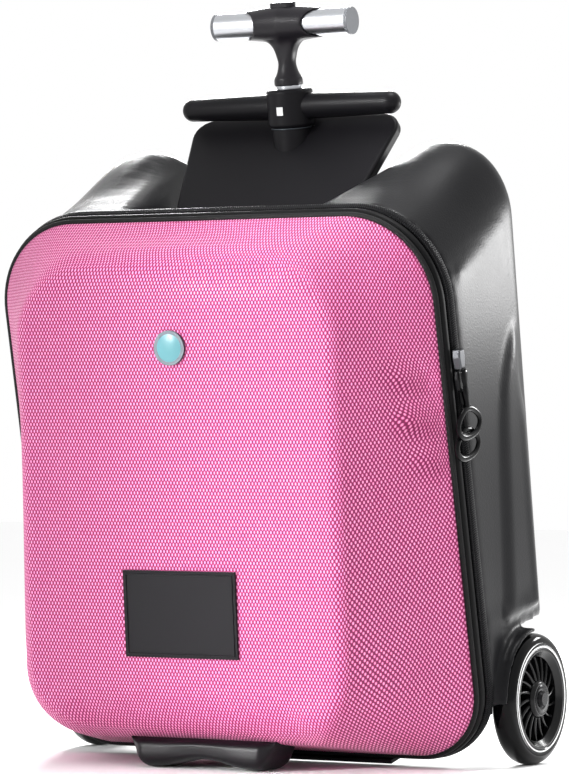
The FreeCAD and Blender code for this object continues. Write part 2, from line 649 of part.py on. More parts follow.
def pole_pieces():
    """Outer tube, its collar, guide bush and socket."""
    bore = "pole_radius - pole_wall"
    tube = turned("pole_tube", [(bore, "pole_bottom"), ("pole_radius", "pole_bottom"),
                                ("pole_radius", "pole_top"), (bore, "pole_top")])[0]
    keyway = sketch_on(tube, "latch_keyway", "XZ_Plane", ("0", "latch_z", "-pole_y"))
    outline(keyway, [("latch_hole", "0"), ("latch_hole", "pole_stroke", "latch_hole", -1),
                     ("0", "pole_stroke + latch_hole", "latch_hole", -1), ("-latch_hole", "pole_stroke"),
                     ("-latch_hole", "0", "latch_hole", -1), ("0", "-latch_hole", "latch_hole", -1)])
    pocket(tube, keyway, "2 * pole_radius", reverse=True)
    keep(tube)
    keep(turned("lower_collar", [("pole_radius", "collar_bottom"), ("collar_radius", "collar_bottom"),
                                 ("collar_radius", "sleeve_bottom"), ("pole_radius", "sleeve_bottom")])[0])
    sliding = "inner_radius + run_fit"
    foot = "pole_top - bush_length"
    keep(turned("guide_bush", [(sliding, foot), (bore, foot), (bore, "pole_top"), ("pole_radius", "pole_top"),
                               ("pole_radius", "sleeve_top"), (sliding, "sleeve_top")])[0])
    floor = "arch_top_z + wall"
    keep(turned("pole_socket", [("0", floor), ("socket_radius", floor), ("socket_radius", "socket_top"),
                                ("pole_radius", "socket_top"), ("pole_radius", "pole_bottom"),
                                ("0", "pole_bottom")])[0])


def inner_tube():
    inside = "inner_radius - inner_wall"
    tube = turned("inner_tube", [(inside, "inner_bottom"), ("inner_radius", "inner_bottom"),
                                 ("inner_radius", "inner_top"), (inside, "inner_top")])[0]
    keep(tube)
    shoe = turned("slide_shoe", [("rod_bore", "shoe_bottom"), ("shoe_radius", "shoe_bottom"),
                                 ("shoe_radius", "inner_bottom"), (inside, "inner_bottom"),
                                 (inside, "inner_bottom + shoe_plug"), ("rod_bore", "inner_bottom + shoe_plug")])[0]
    hole = sketch_on(shoe, "shoe_latch_hole", "XZ_Plane", ("0", "latch_z", "-pole_y"))
    circle(hole, "0", "0", "latch_radius + run_fit")
    pocket(shoe, hole, "2 * shoe_radius", reverse=True)
    keep(shoe)


def latch_pin():
    body = new_body("latch_pin")
    sketch = sketch_on(body, "latch_section", "XZ_Plane", ("0", "latch_z", "-pole_y + latch_reach"))
    circle(sketch, "0", "0", "latch_radius")
    pad(body, sketch, "latch_length", reverse=True)
    return keep(body)


def t_head():
    """Overmoulded head: a swelling barrel with hollow ends, and a waisted neck with a web under the barrel."""
    body = new_body("t_head")
    barrel = sketch_on(body, "head_barrel", "XZ_Plane", ("0", "grip_z", "-pole_y"))
    outline(barrel, [("-head_half_length", "0"), ("-head_half_length", "head_end_radius"),
                     ("0", "head_mid_radius"), ("head_half_length", "head_end_radius"),
                     ("head_half_length", "0")])
    revolve(body, barrel, "H_Axis")
    flange_top = "neck_bottom + neck_flange_height"
    turned("head_neck", [("0", "neck_bottom"), ("neck_flange_radius", "neck_bottom"),
                         ("neck_flange_radius", flange_top, "neck_curve", 1),
                         ("neck_waist_radius", "neck_waist_z", "neck_curve", 1),
                         ("neck_top_radius", "neck_top_z"), ("neck_top_radius", "grip_z"), ("0", "grip_z")],
           body=body)
    web = sketch_on(body, "head_web", "XZ_Plane", ("0", "0", "-pole_y"))
    outline(web, [("-neck_waist_radius", "neck_waist_z"), ("neck_waist_radius", "neck_waist_z", "neck_web_curve", 1),
                  ("neck_web_half", "neck_top_z"), ("-neck_web_half", "neck_top_z", "neck_web_curve", 1)])
    pad(body, web, "neck_web_depth", symmetric=True)
    for side, name in ((1, "right"), (-1, "left")):
        bore = sketch_on(body, "head_bore_" + name, "YZ_Plane", ("pole_y", "grip_z", signed(side, "grip_inner_x")))
        circle(bore, "0", "0", "grip_radius")
        pocket(body, bore, "head_half_length", reverse=side > 0)
        scallop = sketch_on(body, "head_scallop_" + name, "XZ_Plane", ("0", "0", "-pole_y"))
        circle(scallop, signed(side, "head_half_length"), "grip_z", "scallop_radius")
        pocket(body, scallop, "4 * head_mid_radius", symmetric=True)
    for name, radius, top in (("socket", "inner_radius", "inner_top"), ("rod", "rod_bore", "button_top")):
        hole = sketch_on(body, "head_%s_hole" % name, "XY_Plane", ("0", "pole_y", "neck_bottom"))
        circle(hole, "0", "0", radius)
        pocket(body, hole, "%s - neck_bottom" % top, reverse=True)
    slot = sketch_on(body, "head_button_slot", "XY_Plane", ("0", "pole_y", "button_bottom - button_travel - slack"))
    outline(slot, oval("button_half_length + run_fit", "button_half_width + run_fit"))
    pocket(body, slot, "4 * button_travel + head_mid_radius", reverse=True)
    return keep(body)


def oval(half_length, half_width):
    """A slot outline with round ends made of quarter arcs."""
    straight = "(%s) - (%s)" % (half_length, half_width)
    return [(straight, "-(%s)" % half_width, half_width, -1), (half_length, "0", half_width, -1),
            (straight, half_width), ("-(%s)" % straight, half_width, half_width, -1),
            ("-(%s)" % half_length, "0", half_width, -1), ("-(%s)" % straight, "-(%s)" % half_width)]


def grip_pieces():
    """The two grip tubes and their end caps."""
    caps = []
    for side, name in ((1, "right"), (-1, "left")):
        body = new_body("grip_tube_" + name)
        sketch = sketch_on(body, "grip_section_" + name, "YZ_Plane",
                           ("pole_y", "grip_z", signed(side, "grip_inner_x")))
        circle(sketch, "0", "0", "grip_radius")
        circle(sketch, "0", "0", "grip_radius - grip_wall")
        pad(body, sketch, "grip_outer_x - grip_inner_x", reverse=side < 0)
        keep(body)
        cap = new_body("grip_cap_" + name)
        face = sketch_on(cap, "cap_face_" + name, "YZ_Plane", ("pole_y", "grip_z", signed(side, "grip_outer_x")))
        circle(face, "0", "0", "grip_radius")
        pad(cap, face, "cap_thickness", reverse=side < 0)
        plug = sketch_on(cap, "cap_plug_" + name, "YZ_Plane", ("pole_y", "grip_z", signed(side, "grip_outer_x")))
        circle(plug, "0", "0", "grip_radius - grip_wall")
        pad(cap, plug, "cap_plug", reverse=side > 0)
        caps.append(cap)
    keep(group("grip_end_caps", caps))


def release_pieces():
    """The button in the head and its rod down the pole."""
    body = new_body("release_button")
    sketch = sketch_on(body, "button_outline", "XY_Plane", ("0", "pole_y", "button_bottom"))
    outline(sketch, oval("button_half_length", "button_half_width"))
    pad(body, sketch, "button_top - button_bottom")
    keep(body)
    low = "latch_z + latch_radius + button_travel + 2 * slack"
    keep(turned("release_rod", [("0", low), ("rod_radius", low), ("rod_radius", "button_bottom"),
                                ("0", "button_bottom")])[0])


# Wheels and axle

def wheel(side, name):
    inner, outer = "wheel_inner_x", "wheel_inner_x + wheel_width"
    near, far = signed(side, inner), signed(side, outer)
    keep(turned_on_axle("tyre_" + name, [(near, "tyre_inner"), (far, "tyre_inner"),
                                         (far, "tyre_shoulder", TYRE_CROWN, -side),
                                         (near, "tyre_shoulder")])[0])
    hub = new_body("wheel_hub_" + name)
    for part, large, small, depth in (("rim", "tyre_inner", "rim_inner", "wheel_width"),
                                      ("boss", "boss_radius", "bearing_radius", "wheel_width")):
        ring = sketch_on(hub, "hub_%s_%s" % (part, name), "YZ_Plane", ("axle_y", "axle_z", near))
        circle(ring, "0", "0", large)
        circle(ring, "0", "0", small)
        pad(hub, ring, depth, reverse=side < 0)
    middle = signed(side, inner + " + wheel_width / 2")
    spoke = sketch_on(hub, "hub_spoke_" + name, "YZ_Plane", ("axle_y", "axle_z", middle))
    root, tip = "boss_radius - 1.2", "rim_inner + 1.2"
    outline(spoke, [("-spoke_width / 2", root), ("spoke_width / 2", root),
                    ("spoke_sweep + spoke_width / 2", tip), ("spoke_sweep - spoke_width / 2", tip)])
    blade = pad(hub, spoke, "spoke_depth", symmetric=True)
    doc.recompute()
    fan = hub.newObject("PartDesign::PolarPattern", "hub_fan_" + name)
    fan.Originals = [blade]
    fan.Axis = (spoke, ["N_Axis"])
    fan.Angle = 360
    fan.setExpression("Occurrences", bound("spoke_count"))
    hub.Tip = fan
    keep(hub)
    rings = []
    for place, start in (("inner", inner), ("outer", outer + " - bearing_width")):
        a, b = signed(side, start), signed(side, start + " + bearing_width")
        rings.append(turned_on_axle("bearing_%s_%s" % (place, name), axle_ring(a, b, "bearing_radius"))[0])
    keep(group("bearings_" + name, rings))
    a, b = signed(side, inner + " + bearing_width"), signed(side, outer + " - bearing_width")
    keep(turned_on_axle("bearing_spacer_" + name, axle_ring(a, b, "spacer_radius"))[0])


def axle_ring(start, end, radius):
    """A ring running on the axle."""
    return [(start, "axle_radius + run_fit"), (end, "axle_radius + run_fit"), (end, radius), (start, radius)]


def axle_pieces():
    tip = "wheel_inner_x + wheel_width + axle_overhang"
    keep(turned_on_axle("axle_rod", [("-(%s)" % tip, "0"), (tip, "0"), (tip, "axle_radius"),
                                     ("-(%s)" % tip, "axle_radius")])[0])
    spacers, bolts = [], []
    for side, name in ((1, "right"), (-1, "left")):
        keep(axle_saddle(side, name))
        a, b = signed(side, "saddle_outer_x"), signed(side, "wheel_inner_x - run_fit")
        spacers.append(turned_on_axle("axle_spacer_" + name, axle_ring(a, b, "spacer_radius"))[0])
        face = "wheel_inner_x + wheel_width + run_fit"
        head = "%s + bolt_height" % face
        bolts.append(turned_on_axle("axle_bolt_" + name, [
            (signed(side, head), "0"), (signed(side, tip), "0"), (signed(side, tip), "axle_radius"),
            (signed(side, face), "axle_radius"), (signed(side, face), "bolt_radius"),
            (signed(side, head), "bolt_radius - bolt_height / 2")])[0])
    keep(group("axle_spacers", spacers))
    keep(group("axle_bolts", bolts))


def axle_saddle(side, name):
    """A saddle that hangs from the ceiling of the wheel recess and carries the axle."""
    body = new_body("axle_saddle_" + name)
    sketch = sketch_on(body, "saddle_section_" + name, "YZ_Plane", ("0", "0", signed(side, "saddle_inner_x")))
    front, back, low = "axle_y - saddle_reach", "axle_y + saddle_reach", "axle_z - saddle_reach"
    outline(sketch, [(front, low), (back, low), (back, "arch_top_z"), ("arch_top_y + slack", "arch_top_z"),
                     (front, "axle_z + saddle_reach")])
    circle(sketch, "axle_y", "axle_z", "axle_radius")
    pad(body, sketch, "saddle_outer_x - saddle_inner_x", reverse=side < 0)
    return body


# Front cover and zip

def band_ring(name, start, depth, step):
    """A ring round the zip opening, between two planes parallel to the zip."""
    body = new_body(name)
    for edge, inset in (("outer", step), ("inner", step + " + band_width")):
        sketch = zip_sketch(body, "%s_%s" % (name, edge), start)
        rounded_rectangle(sketch, "zip_half_width - (%s)" % inset, "zip_top - (%s)" % inset,
                          "zip_bottom + (%s)" % inset, "zip_corner_top - (%s)" % inset,
                          "zip_corner_bottom - (%s)" % inset)
        if edge == "outer":
            pad(body, sketch, depth)
        else:
            pocket(body, sketch, depth, reverse=True)
    return body


def cover_form(name, inset, back):
    """The drafted, rounded form of the front cover, set in all round by a distance."""
    body = new_body(name)
    edge = zip_sketch(body, name + "_edge", back)
    step = "cover_step + %s" % inset
    rounded_rectangle(edge, "zip_half_width - (%s)" % step, "zip_top - (%s)" % step,
                      "zip_bottom + (%s)" % step, "zip_corner_top - (%s)" % step,
                      "zip_corner_bottom - (%s)" % step)
    face = sketch_on(body, name + "_face", "XZ_Plane", ("0", "0", "-front_y - %s" % inset), "-front_lean")
    rounded_rectangle(face, "front_half_width - %s" % inset, "front_top - %s" % inset,
                      "front_bottom + %s" % inset, "front_corner_top - %s" % inset,
                      "front_corner_bottom - %s" % inset)
    form = loft(body, [edge, face])
    lean = math.radians(val("front_lean"))
    normal = V(0, -math.cos(lean), math.sin(lean))
    level = normal.dot(V(0, val("front_y + %s" % inset), 0))
    fillet(body, form, "front_round - %s" % inset,
           lambda item, middle: abs(normal.dot(middle) - level) < 0.6)
    return body


def front_cover():
    outer = cover_form("cover_outer", "0", "band_depth")
    core = cover_form("cover_core", "cover_wall", "band_depth")
    keep(cut("front_shell", outer, core))
    keep(cut("front_foot", foot_blank(), outer))


def foot_blank():
    """The foot before it is fitted to the cover: two lobes, an arch and a flat sole on the floor."""
    body = new_body("foot_blank")
    sketch = sketch_on(body, "foot_outline", "XZ_Plane", ("0", "0", "-foot_front_y"))
    outline(sketch, [("-foot_half_width", "foot_top_z"),
                     ("-foot_half_width", "foot_shoulder_z", "foot_end_radius", -1),
                     ("-foot_lobe_outer", "foot_lobe_z", "foot_lobe_radius", -1),
                     ("-foot_lobe_inner", "foot_lobe_z", "foot_arch_radius", 1),
                     ("foot_lobe_inner", "foot_lobe_z", "foot_lobe_radius", -1),
                     ("foot_lobe_outer", "foot_lobe_z", "foot_end_radius", -1),
                     ("foot_half_width", "foot_shoulder_z"),
                     ("foot_half_width", "foot_top_z")])
    pad(body, sketch, "foot_depth", reverse=True)
    floor = sketch_on(body, "foot_floor", "YZ_Plane")
    level = "(-" + LIFT + " - (%s) * sin(lean_angle)) / cos(lean_angle)"
    near, far = "foot_front_y - foot_depth", "foot_front_y + 2 * foot_depth"
    outline(floor, [(near, level % near), (far, level % far), (far, "-3 * wheel_radius"),
                    (near, "-3 * wheel_radius")])
    pocket(body, floor, "4 * foot_half_width", symmetric=True)
    return body


def hinge_tape(name, start, top):
    """One half of the cloth hinge under the zip bands."""
    body = new_body(name)
    sketch = zip_sketch(body, name + "_outline", start)
    outline(sketch, [("-tape_half_width", "zip_bottom - tape_thickness"),
                     ("tape_half_width", "zip_bottom - tape_thickness"),
                     ("tape_half_width", top), ("-tape_half_width", top)])
    pad(body, sketch, "band_depth - slack")
    return keep(body)


def front_badge():
    rim = new_body("badge_rim")
    sketch = front_sketch(rim, "badge_ring")
    circle(sketch, "0", "badge_z", "badge_radius")
    circle(sketch, "0", "badge_z", "badge_radius - badge_rim")
    pad(rim, sketch, "badge_height")
    keep(rim)
    disc = new_body("badge_disc")
    sketch = front_sketch(disc, "badge_face")
    circle(sketch, "0", "badge_z", "badge_radius - badge_rim")
    pad(disc, sketch, "badge_disc_height")
    keep(disc)


def label_plate():
    body = new_body("label_plate")
    sketch = front_sketch(body, "label_outline")
    outline(sketch, [("-label_half_width", "label_bottom"), ("label_half_width", "label_bottom"),
                     ("label_half_width", "label_top"), ("-label_half_width", "label_top")])
    pad(body, sketch, "label_height")
    return keep(body)


def side_sketch(body, name, lift):
    """A sketch on the right side of the zip band: across the zip, then up along it."""
    sketch = sketch_on(body, name, "YZ_Plane", ("zip_y", "0", "zip_half_width + %s" % lift))
    sketch.AttachmentOffset = FreeCAD.Placement(V(), FreeCAD.Rotation(V(0, 0, 1), val("zip_lean")))
    sketch.setExpression("AttachmentOffset.Rotation.Angle", bound("zip_lean"))
    return sketch


def zip_slider(name, low, lift):
    """A tapered slider, thick enough to carry its pull's knuckle."""
    body = new_body("zip_slider_" + name)
    sketch = side_sketch(body, "slider_outline_" + name, "slack")
    waist = "slider_half_width * 0.7"
    outline(sketch, [("-(%s)" % waist, low), (waist, low), ("slider_half_width", low + " + slider_height * 0.6"),
                     ("slider_half_width * 0.8", low + " + slider_height"),
                     ("-slider_half_width * 0.8", low + " + slider_height"),
                     ("-slider_half_width", low + " + slider_height * 0.6")])
    thickness = "%s + pull_thickness / 2 - slack" % lift
    block = pad(body, sketch, thickness)
    outside = val("zip_half_width + slack + " + thickness)
    fillet(body, block, "slider_round", lambda edge, middle: abs(middle.x - outside) < 0.01)
    return keep(body)


def zip_pull(name, top, lift):
    """A link that hangs from the slider by a round knuckle and ends in an open ring."""
    body = new_body("zip_pull_" + name)
    link = side_sketch(body, "pull_link_" + name, lift)
    low = "%s - pull_link" % top
    pivot = "%s - pull_thickness / 2" % top
    outline(link, [("-pull_half_width * 0.6", low), ("pull_half_width * 0.6", low), ("pull_half_width", pivot),
                   ("-pull_half_width", pivot)])
    pad(body, link, "pull_thickness")
    knuckle = zip_sketch(body, "pull_knuckle_" + name, "-pull_half_width")
    circle(knuckle, "zip_half_width + %s + pull_thickness / 2" % lift, pivot, "pull_thickness / 2")
    pad(body, knuckle, "2 * pull_half_width")
    ring = side_sketch(body, "pull_ring_" + name, lift)
    middle = "%s - ring_height / 2 + ring_bar / 2" % low
    for shrink in ("0", "ring_bar"):
        half, tall = "ring_half_width - %s" % shrink, "ring_height / 2 - %s" % shrink
        outline(ring, [("(%s) * 0.55" % half, "%s - (%s)" % (middle, tall)), (half, "%s - (%s) * 0.45" % (middle, tall)),
                       (half, "%s + (%s) * 0.2" % (middle, tall)), ("(%s) * 0.3" % half, "%s + (%s)" % (middle, tall)),
                       ("-(%s) * 0.3" % half, "%s + (%s)" % (middle, tall)),
                       ("-(%s)" % half, "%s + (%s) * 0.2" % (middle, tall)),
                       ("-(%s)" % half, "%s - (%s) * 0.45" % (middle, tall)),
                       ("-(%s) * 0.55" % half, "%s - (%s)" % (middle, tall))])
    pad(body, ring, "pull_thickness")
    return keep(body)


def zip_pieces():
    keep(band_ring("rear_zip_band", "-band_depth", "band_depth - slack", "0"))
    keep(band_ring("front_zip_binding", "slack", "band_depth - slack", "binding_step"))
    hinge_tape("hinge_tape_rear", "-band_depth", "zip_bottom")
    hinge_tape("hinge_tape_front", "slack", "zip_bottom + binding_step")
    for name, low, lift in (("upper", "slider_upper_v", "upper_pull_lift"),
                            ("lower", "slider_upper_v - slider_gap", "lower_pull_lift")):
        zip_slider(name, low, lift)
        zip_pull(name, low + " - slack", lift)


# Assembly

def build():
    fill_sheet()
    back_shell()
    seat_plate()
    cross_bar()
    lock_button()
    pole_pieces()
    inner_tube()
    latch_pin()
    t_head()
    grip_pieces()
    release_pieces()
    axle_pieces()
    wheel(1, "right")
    wheel(-1, "left")
    front_cover()
    zip_pieces()
    front_badge()
    label_plate()
    doc.recompute()


def centre_the_box():
    """Set the shift that puts the middle of the standing case's depth on the origin."""
    depths = []
    for item in nodes:
        depths += [point.y for point in item.Shape.tessellate(EXTENT_STEP)[0]]
    sheet.set(VALUE_CELL["frame_shift_y"], str(round(-(min(depths) + max(depths)) / 2, 3)))
    doc.recompute()


def check():
    """Stop if any object failed or any sub-part is empty or broken."""
    failed = [item.Name for item in doc.Objects if "Invalid" in item.State or "Error" in item.State]
    broken = [item.Label for item in nodes
              if item.Shape.isNull() or not item.Shape.isValid() or not item.Shape.Solids]
    if failed or broken:
        raise RuntimeError("failed: %s, broken: %s" % (failed, broken))


def export():
    os.makedirs("parts", exist_ok=True)
    for item in nodes:
        item.Shape.exportStep("parts/%s.step" % item.Label)


build()
centre_the_box()
check()
export()
print("nodes %d, shift %.3f" % (len(nodes), val("frame_shift_y")))
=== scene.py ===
import bmesh
import bpy
import json
import math
from mathutils import Matrix, Vector, noise as field


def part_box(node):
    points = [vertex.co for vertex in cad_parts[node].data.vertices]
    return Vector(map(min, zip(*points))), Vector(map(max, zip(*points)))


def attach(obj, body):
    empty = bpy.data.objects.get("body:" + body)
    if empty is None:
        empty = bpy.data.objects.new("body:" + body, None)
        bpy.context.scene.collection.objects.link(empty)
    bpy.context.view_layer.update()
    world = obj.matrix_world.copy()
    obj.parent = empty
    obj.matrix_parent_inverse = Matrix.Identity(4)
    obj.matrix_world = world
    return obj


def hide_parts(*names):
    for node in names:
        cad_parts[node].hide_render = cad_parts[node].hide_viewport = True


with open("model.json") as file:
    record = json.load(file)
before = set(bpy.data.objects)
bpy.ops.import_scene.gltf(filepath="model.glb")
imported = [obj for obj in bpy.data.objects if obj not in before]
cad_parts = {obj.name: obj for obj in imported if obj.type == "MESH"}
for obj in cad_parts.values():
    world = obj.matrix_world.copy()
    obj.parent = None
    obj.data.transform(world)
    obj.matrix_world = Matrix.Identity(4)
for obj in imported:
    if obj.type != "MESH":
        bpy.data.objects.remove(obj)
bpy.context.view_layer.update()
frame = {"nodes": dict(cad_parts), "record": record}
nodes = frame["nodes"]

MM = 0.001

# Case frame: Y to the rear, Z up along the pole, in millimetres. The axle lies a little behind its origin.
LEAN = math.radians(9.0)
LEANING = Matrix.Rotation(LEAN, 4, "X")
axle_low, axle_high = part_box("axle_rod")
AXLE = (axle_low + axle_high) / 2
AXLE_IN_CASE = Vector((0.0, 29.4, -4.65))
ORIGIN = AXLE - LEANING @ (AXLE_IN_CASE * MM)
CASE = Matrix.Translation(ORIGIN) @ LEANING @ Matrix.Scale(MM, 4)
TO_CASE = CASE.inverted()

# Zip plane, cover and front face, as the solids have them.
ZIP_Y = -36.8
ZIP_LEAN = math.radians(3.5)
ZIP_HALF_WIDTH = 193.5
ZIP_TOP = 386.0
ZIP_BOTTOM = -40.0
ZIP_CORNER_TOP = 74.0
ZIP_CORNER_BOTTOM = 58.0
BAND_DEPTH = 11.0
COVER_STEP = 6.5
COVER_WALL = 4.0
FRONT_Y = -158.4
FRONT_LEAN = math.radians(4.5)
FRONT_HALF_WIDTH = 135.0
FRONT_TOP = 352.0
FRONT_BOTTOM = 0.0
FRONT_CORNER_TOP = 58.0
FRONT_CORNER_BOTTOM = 52.0
LABEL = (-48.5, 48.5, 60.0, 125.0)
LABEL_HEIGHT = 2.0

# Camera fitted to the photograph.
PHOTO_LONG_SIDE = 774
FOCAL_PIXELS = 4089.0
CAMERA_AZIMUTH = math.radians(29.74)
CAMERA_PITCH = math.radians(-0.45)
CAMERA_DISTANCE = 3.169
CAMERA_TARGET = Vector((0.0026, ORIGIN.y - 0.0134, 0.2875))
SENSOR = 36.0

# Zip pieces: inset from the zip's outline, and the profile's centre outward and forward, half width and half
# depth, with the number of its points and its power where they differ.
REAR_TAPE_INSET, REAR_TAPE = 0.0, (-4.5, -5.6, 4.5, 5.3)
FRONT_TAPE_INSET, FRONT_TAPE = 2.0, (-4.5, 4.4, 4.5, 4.1)
ZIP_COIL_INSET, ZIP_COIL = 2.4, (0.0, -0.6, 1.3, 1.0, 10, 2.0)
PIPING = (0.4, 9.8, 2.4, 2.2, 12, 2.0)

# Cover: radii of its front edge right, left and at the top, and how far its lower left edge swells.
FRONT_ROUND_RIGHT, FRONT_ROUND_LEFT, FRONT_ROUND_TOP = 13.0, 18.0, 46.0
FRONT_SPREAD = 7.0
COVER_ARC_STEPS, COVER_LINE_STEPS = 24, 72
COVER_SLOPE_STEPS, COVER_ROUND_STEPS = 24, 10

# Soft dents in the cover's sloping sides: depth in millimetres, and how many to the metre.
DENT_DEPTH = 4.0
DENT_SCALE = 16.0

# Creases pressed into the right side near the pulls: height, share of the way to the front, depth and tilt.
# Their reach and half height, their rise for a tilt of one, and the share beside the zip that stays in place.
PRESSED = ((262.0, 0.3, 6.0, 0.5), (228.0, 0.24, 7.5, 0.35), (198.0, 0.16, 5.0, 0.2))
PRESS_REACH, PRESS_HALF_HEIGHT = 0.2, 11.0
PRESS_RISE, PRESS_FREE = 60.0, 0.08

# Weave of the pink cloth: raised ovals in staggered rows, in millimetres, and closer past the front fold.
WEAVE_PITCH = (2.8, 2.55)
WEAVE_OVAL = (0.85, 1.65)
CLOTH_DRAW = 0.55
FOLD_BLEND = 4.0

# Wheels, as the solids have them, in radii and in places across the wheel.
WHEEL_INNER, WHEEL_OUTER = 183.0, 203.0
WHEEL_STEPS, BOSS_STEPS = 128, 64
TYRE_SEAT, TYRE_SHOULDER, TYRE_CROWN = 38.0, 41.6, 8.4
TYRE_STEPS, TYRE_POWER = 14, 0.8
STRIPE_RADII = (39.2, 40.3)
SEAL_RADII = (5.4, 11.2)

# Spokes: number, root radius, length, sweep in radians, and half width, half depth and edge with their taper.
SPOKES = 18
SPOKE_ROOT, SPOKE_LENGTH, SPOKE_SWEEP = 13.2, 19.6, 0.24
SPOKE_HALF_WIDTH, SPOKE_WIDTH_TAPER = 1.35, 0.35
SPOKE_HALF_DEPTH, SPOKE_DEPTH_TAPER = 7.2, 2.2
SPOKE_EDGE = 0.9

# Zip pulls on the right side: the sliders' lower ends, how far each pull stands off, and its link and ring.
SLIDER_LOW = {"upper": 262.0, "lower": 246.0}
SLIDER_GAP = 0.3
PULL_LIFT = {"upper": 4.8, "lower": 2.0}
PULL_THICKNESS = 2.5
PULL_SWELL = 1.25
PULL_LINK = 30.0
LINK_SPREAD = 1.08
LINK_STATIONS = ((0.0, 1.4), (0.6, 3.4), (3.0, 4.4), (8.0, 4.2), (11.0, 2.6), (13.0, 2.6), (15.0, 4.0),
                 (20.0, 3.6), (24.0, 2.2), (29.0, 2.0), (31.0, 2.6))
RING_HALF_WIDTH = 20.0
RING_HEIGHT = 26.0
RING_BAR = 5.2

# Pole, the bright ring under the cross bar's sleeve, and the heights of the handle's neck with its smoothing.
POLE_Y = 72.0
SLEEVE_RING_RADIUS, SLEEVE_RING_HEIGHT = 15.6, 433.9
NECK = (473.0, 503.0)
NECK_PASSES = 8

# Raised hip on the side walls: its front crease leans back from the guard and turns to the rear at its top.
# Its height, the width of the crease, and the wall it stands on. The pairs are where it fades in and out.
HIP_LOW, HIP_TURN, HIP_TOP = 60.0, 150.0, 287.0
HIP_START, HIP_LEAN, HIP_SWEEP, HIP_POWER = 2.0, 0.1, 44.0, 5
HIP_HEIGHT, HIP_BLEND, HIP_SKEW = 4.0, 14.0, 0.75
HIP_FROM_Z, HIP_TO_Z = (62.0, 78.0), (320.0, 345.0)
HIP_FROM_Y, HIP_TO_Y = (-40.0, -30.0), (52.0, 72.0)
WALL_START, WALL_FRONT, WALL_SLOPE = -36.0, 191.6, -0.072
WALL_MARGIN, WALL_FACING = 2.2, 0.6

# Wings: rise of their rear ends, and where it grows. The shell's rim laps into the zip tape.
WING_RISE = 7.0
WING_Y, WING_Z, WING_SIDE = (-20.0, 60.0), (350.0, 405.0), (100.0, 128.0)
RIM_LAP, RIM_REACH = 3.5, 5.0

# Foot: half width, place of the lobes, height of the arch, rise of the ends, and the crease along its front.
FOOT_HALF_WIDTH, FOOT_LOBE, FOOT_ARCH = 63.0, 46.0, 7.0
FOOT_END_RISE, FOOT_POWER = 22.0, 0.55
FOOT_TUCK, FOOT_TUCK_FROM = 0.3, 0.8
FOOT_CREASE, FOOT_CREASE_PLACE, FOOT_CREASE_WIDTH = 1.0, 0.62, 1.6
FOOT_STATIONS, FOOT_AROUND = 72, 40

# Badge dome: height of its edge over the front face, its rise, and how far it laps over the disc.
DOME_BASE, DOME_RISE, DOME_LAP = 2.2, 1.3, 0.3
DOME_STEPS, DOME_RINGS = 64, 10

# Border of the label: inset from the plate's edge, width, height and slant of its flanks.
BORDER_INSET, BORDER_WIDTH, BORDER_HEIGHT, BORDER_SLANT = 2.0, 1.2, 0.8, 0.25

# Nodes with rounded edges, and the radius of each in millimetres.
SOFT_EDGES = (("label_plate", 0.6), ("badge_rim", 0.5), ("release_button", 0.8), ("grip_end_caps", 0.6),
              ("seat_plate", 0.6), ("axle_bolts", 0.4), ("lock_button", 0.4))
SOFT_EDGE_ANGLE = math.radians(35)

# Studio: half size of the floor, and the lamps with place, aim, size, spread in degrees and power in watts.
FLOOR_HALF = 6.0
LAMPS = (("key", (-1.16, -2.3, 0.9), (0.1, -0.11, 0.28), (0.15, 1.6), 9.0, 2.0),
         ("sheen", (-1.09, -2.3, 0.2), (0.1, -0.11, 0.28), (0.3, 0.35), 180.0, 4.0),
         ("fill", (-1.6, -2.0, 1.4), (0.0, 0.0, 0.3), (1.2, 1.2), 180.0, 8.0),
         ("side", (0.45, 0.67, 0.43), (0.19, 0.02, 0.38), (0.2, 0.12), 180.0, 2.5),
         ("rear", (-0.75, 1.3, 1.0), (0.05, 0.05, 0.43), (0.6, 0.6), 180.0, 70.0),
         ("top", (0.25, 0.1, 1.7), (0.1, 0.05, 0.45), (0.5, 0.5), 180.0, 14.0))


def srgb(red, green, blue):
    """A display colour from 0 to 255 as the linear colour that shaders use."""
    def linear(c):
        c /= 255.0
        return c / 12.92 if c <= 0.04045 else ((c + 0.055) / 1.055) ** 2.4
    return (linear(red), linear(green), linear(blue), 1.0)


# Materials: broad unevenness to the metre with its range in gloss and in colour, lines of brushed metal along
# # and across to the metre, slope of the cloth's ovals, and the ribs' painted shade in their grooves and
# # painted highlight on their crests.

BROAD_SCALE = 14.0
GLOSS_LOW, GLOSS_HIGH = 0.88, 1.14
SHADE_LOW, SHADE_HIGH = 0.82, 1.18
LINES_ALONG, LINES_ACROSS = 60.0, 2500.0
OVAL_FOOT, OVAL_TOP = 1.15, 0.35
RIB_SHADE, RIB_HIGHLIGHT = 0.55, 1.5

# Pink cloth: colours between the grains with painted shade, on their flanks, and on top with a painted
# # highlight, unevenness and threads to the metre.
CLOTH_HOLE_SHADE, CLOTH_FLANK, CLOTH_TOP_HIGHLIGHT = srgb(122, 24, 76), srgb(216, 58, 138), srgb(246, 166, 208)
GRAIN_SCALE, GRAIN_LOW, GRAIN_HIGH = 330.0, 0.72, 1.22
THREAD_SCALE, THREAD_HEIGHT = 1800.0, 0.25
CLOTH_DULL, CLOTH_GLOSS = 0.8, 0.28
CLOTH_DEPTH = 0.0005


def new_material(name, colour, roughness, **sockets):
    material = bpy.data.materials.new(name)
    material.use_nodes = True
    shader = material.node_tree.nodes["Principled BSDF"]
    shader.inputs["Base Color"].default_value = colour
    shader.inputs["Roughness"].default_value = roughness
    for socket, value in sockets.items():
        shader.inputs[socket.replace("_", " ")].default_value = value
    return material


def node(material, kind, **settings):
    made = material.node_tree.nodes.new(kind)
    for key, value in settings.items():
        setattr(made, key, value)
    return made


def link(material, source, target):
    material.node_tree.links.new(source, target)


def shader_of(material):
    return material.node_tree.nodes["Principled BSDF"]


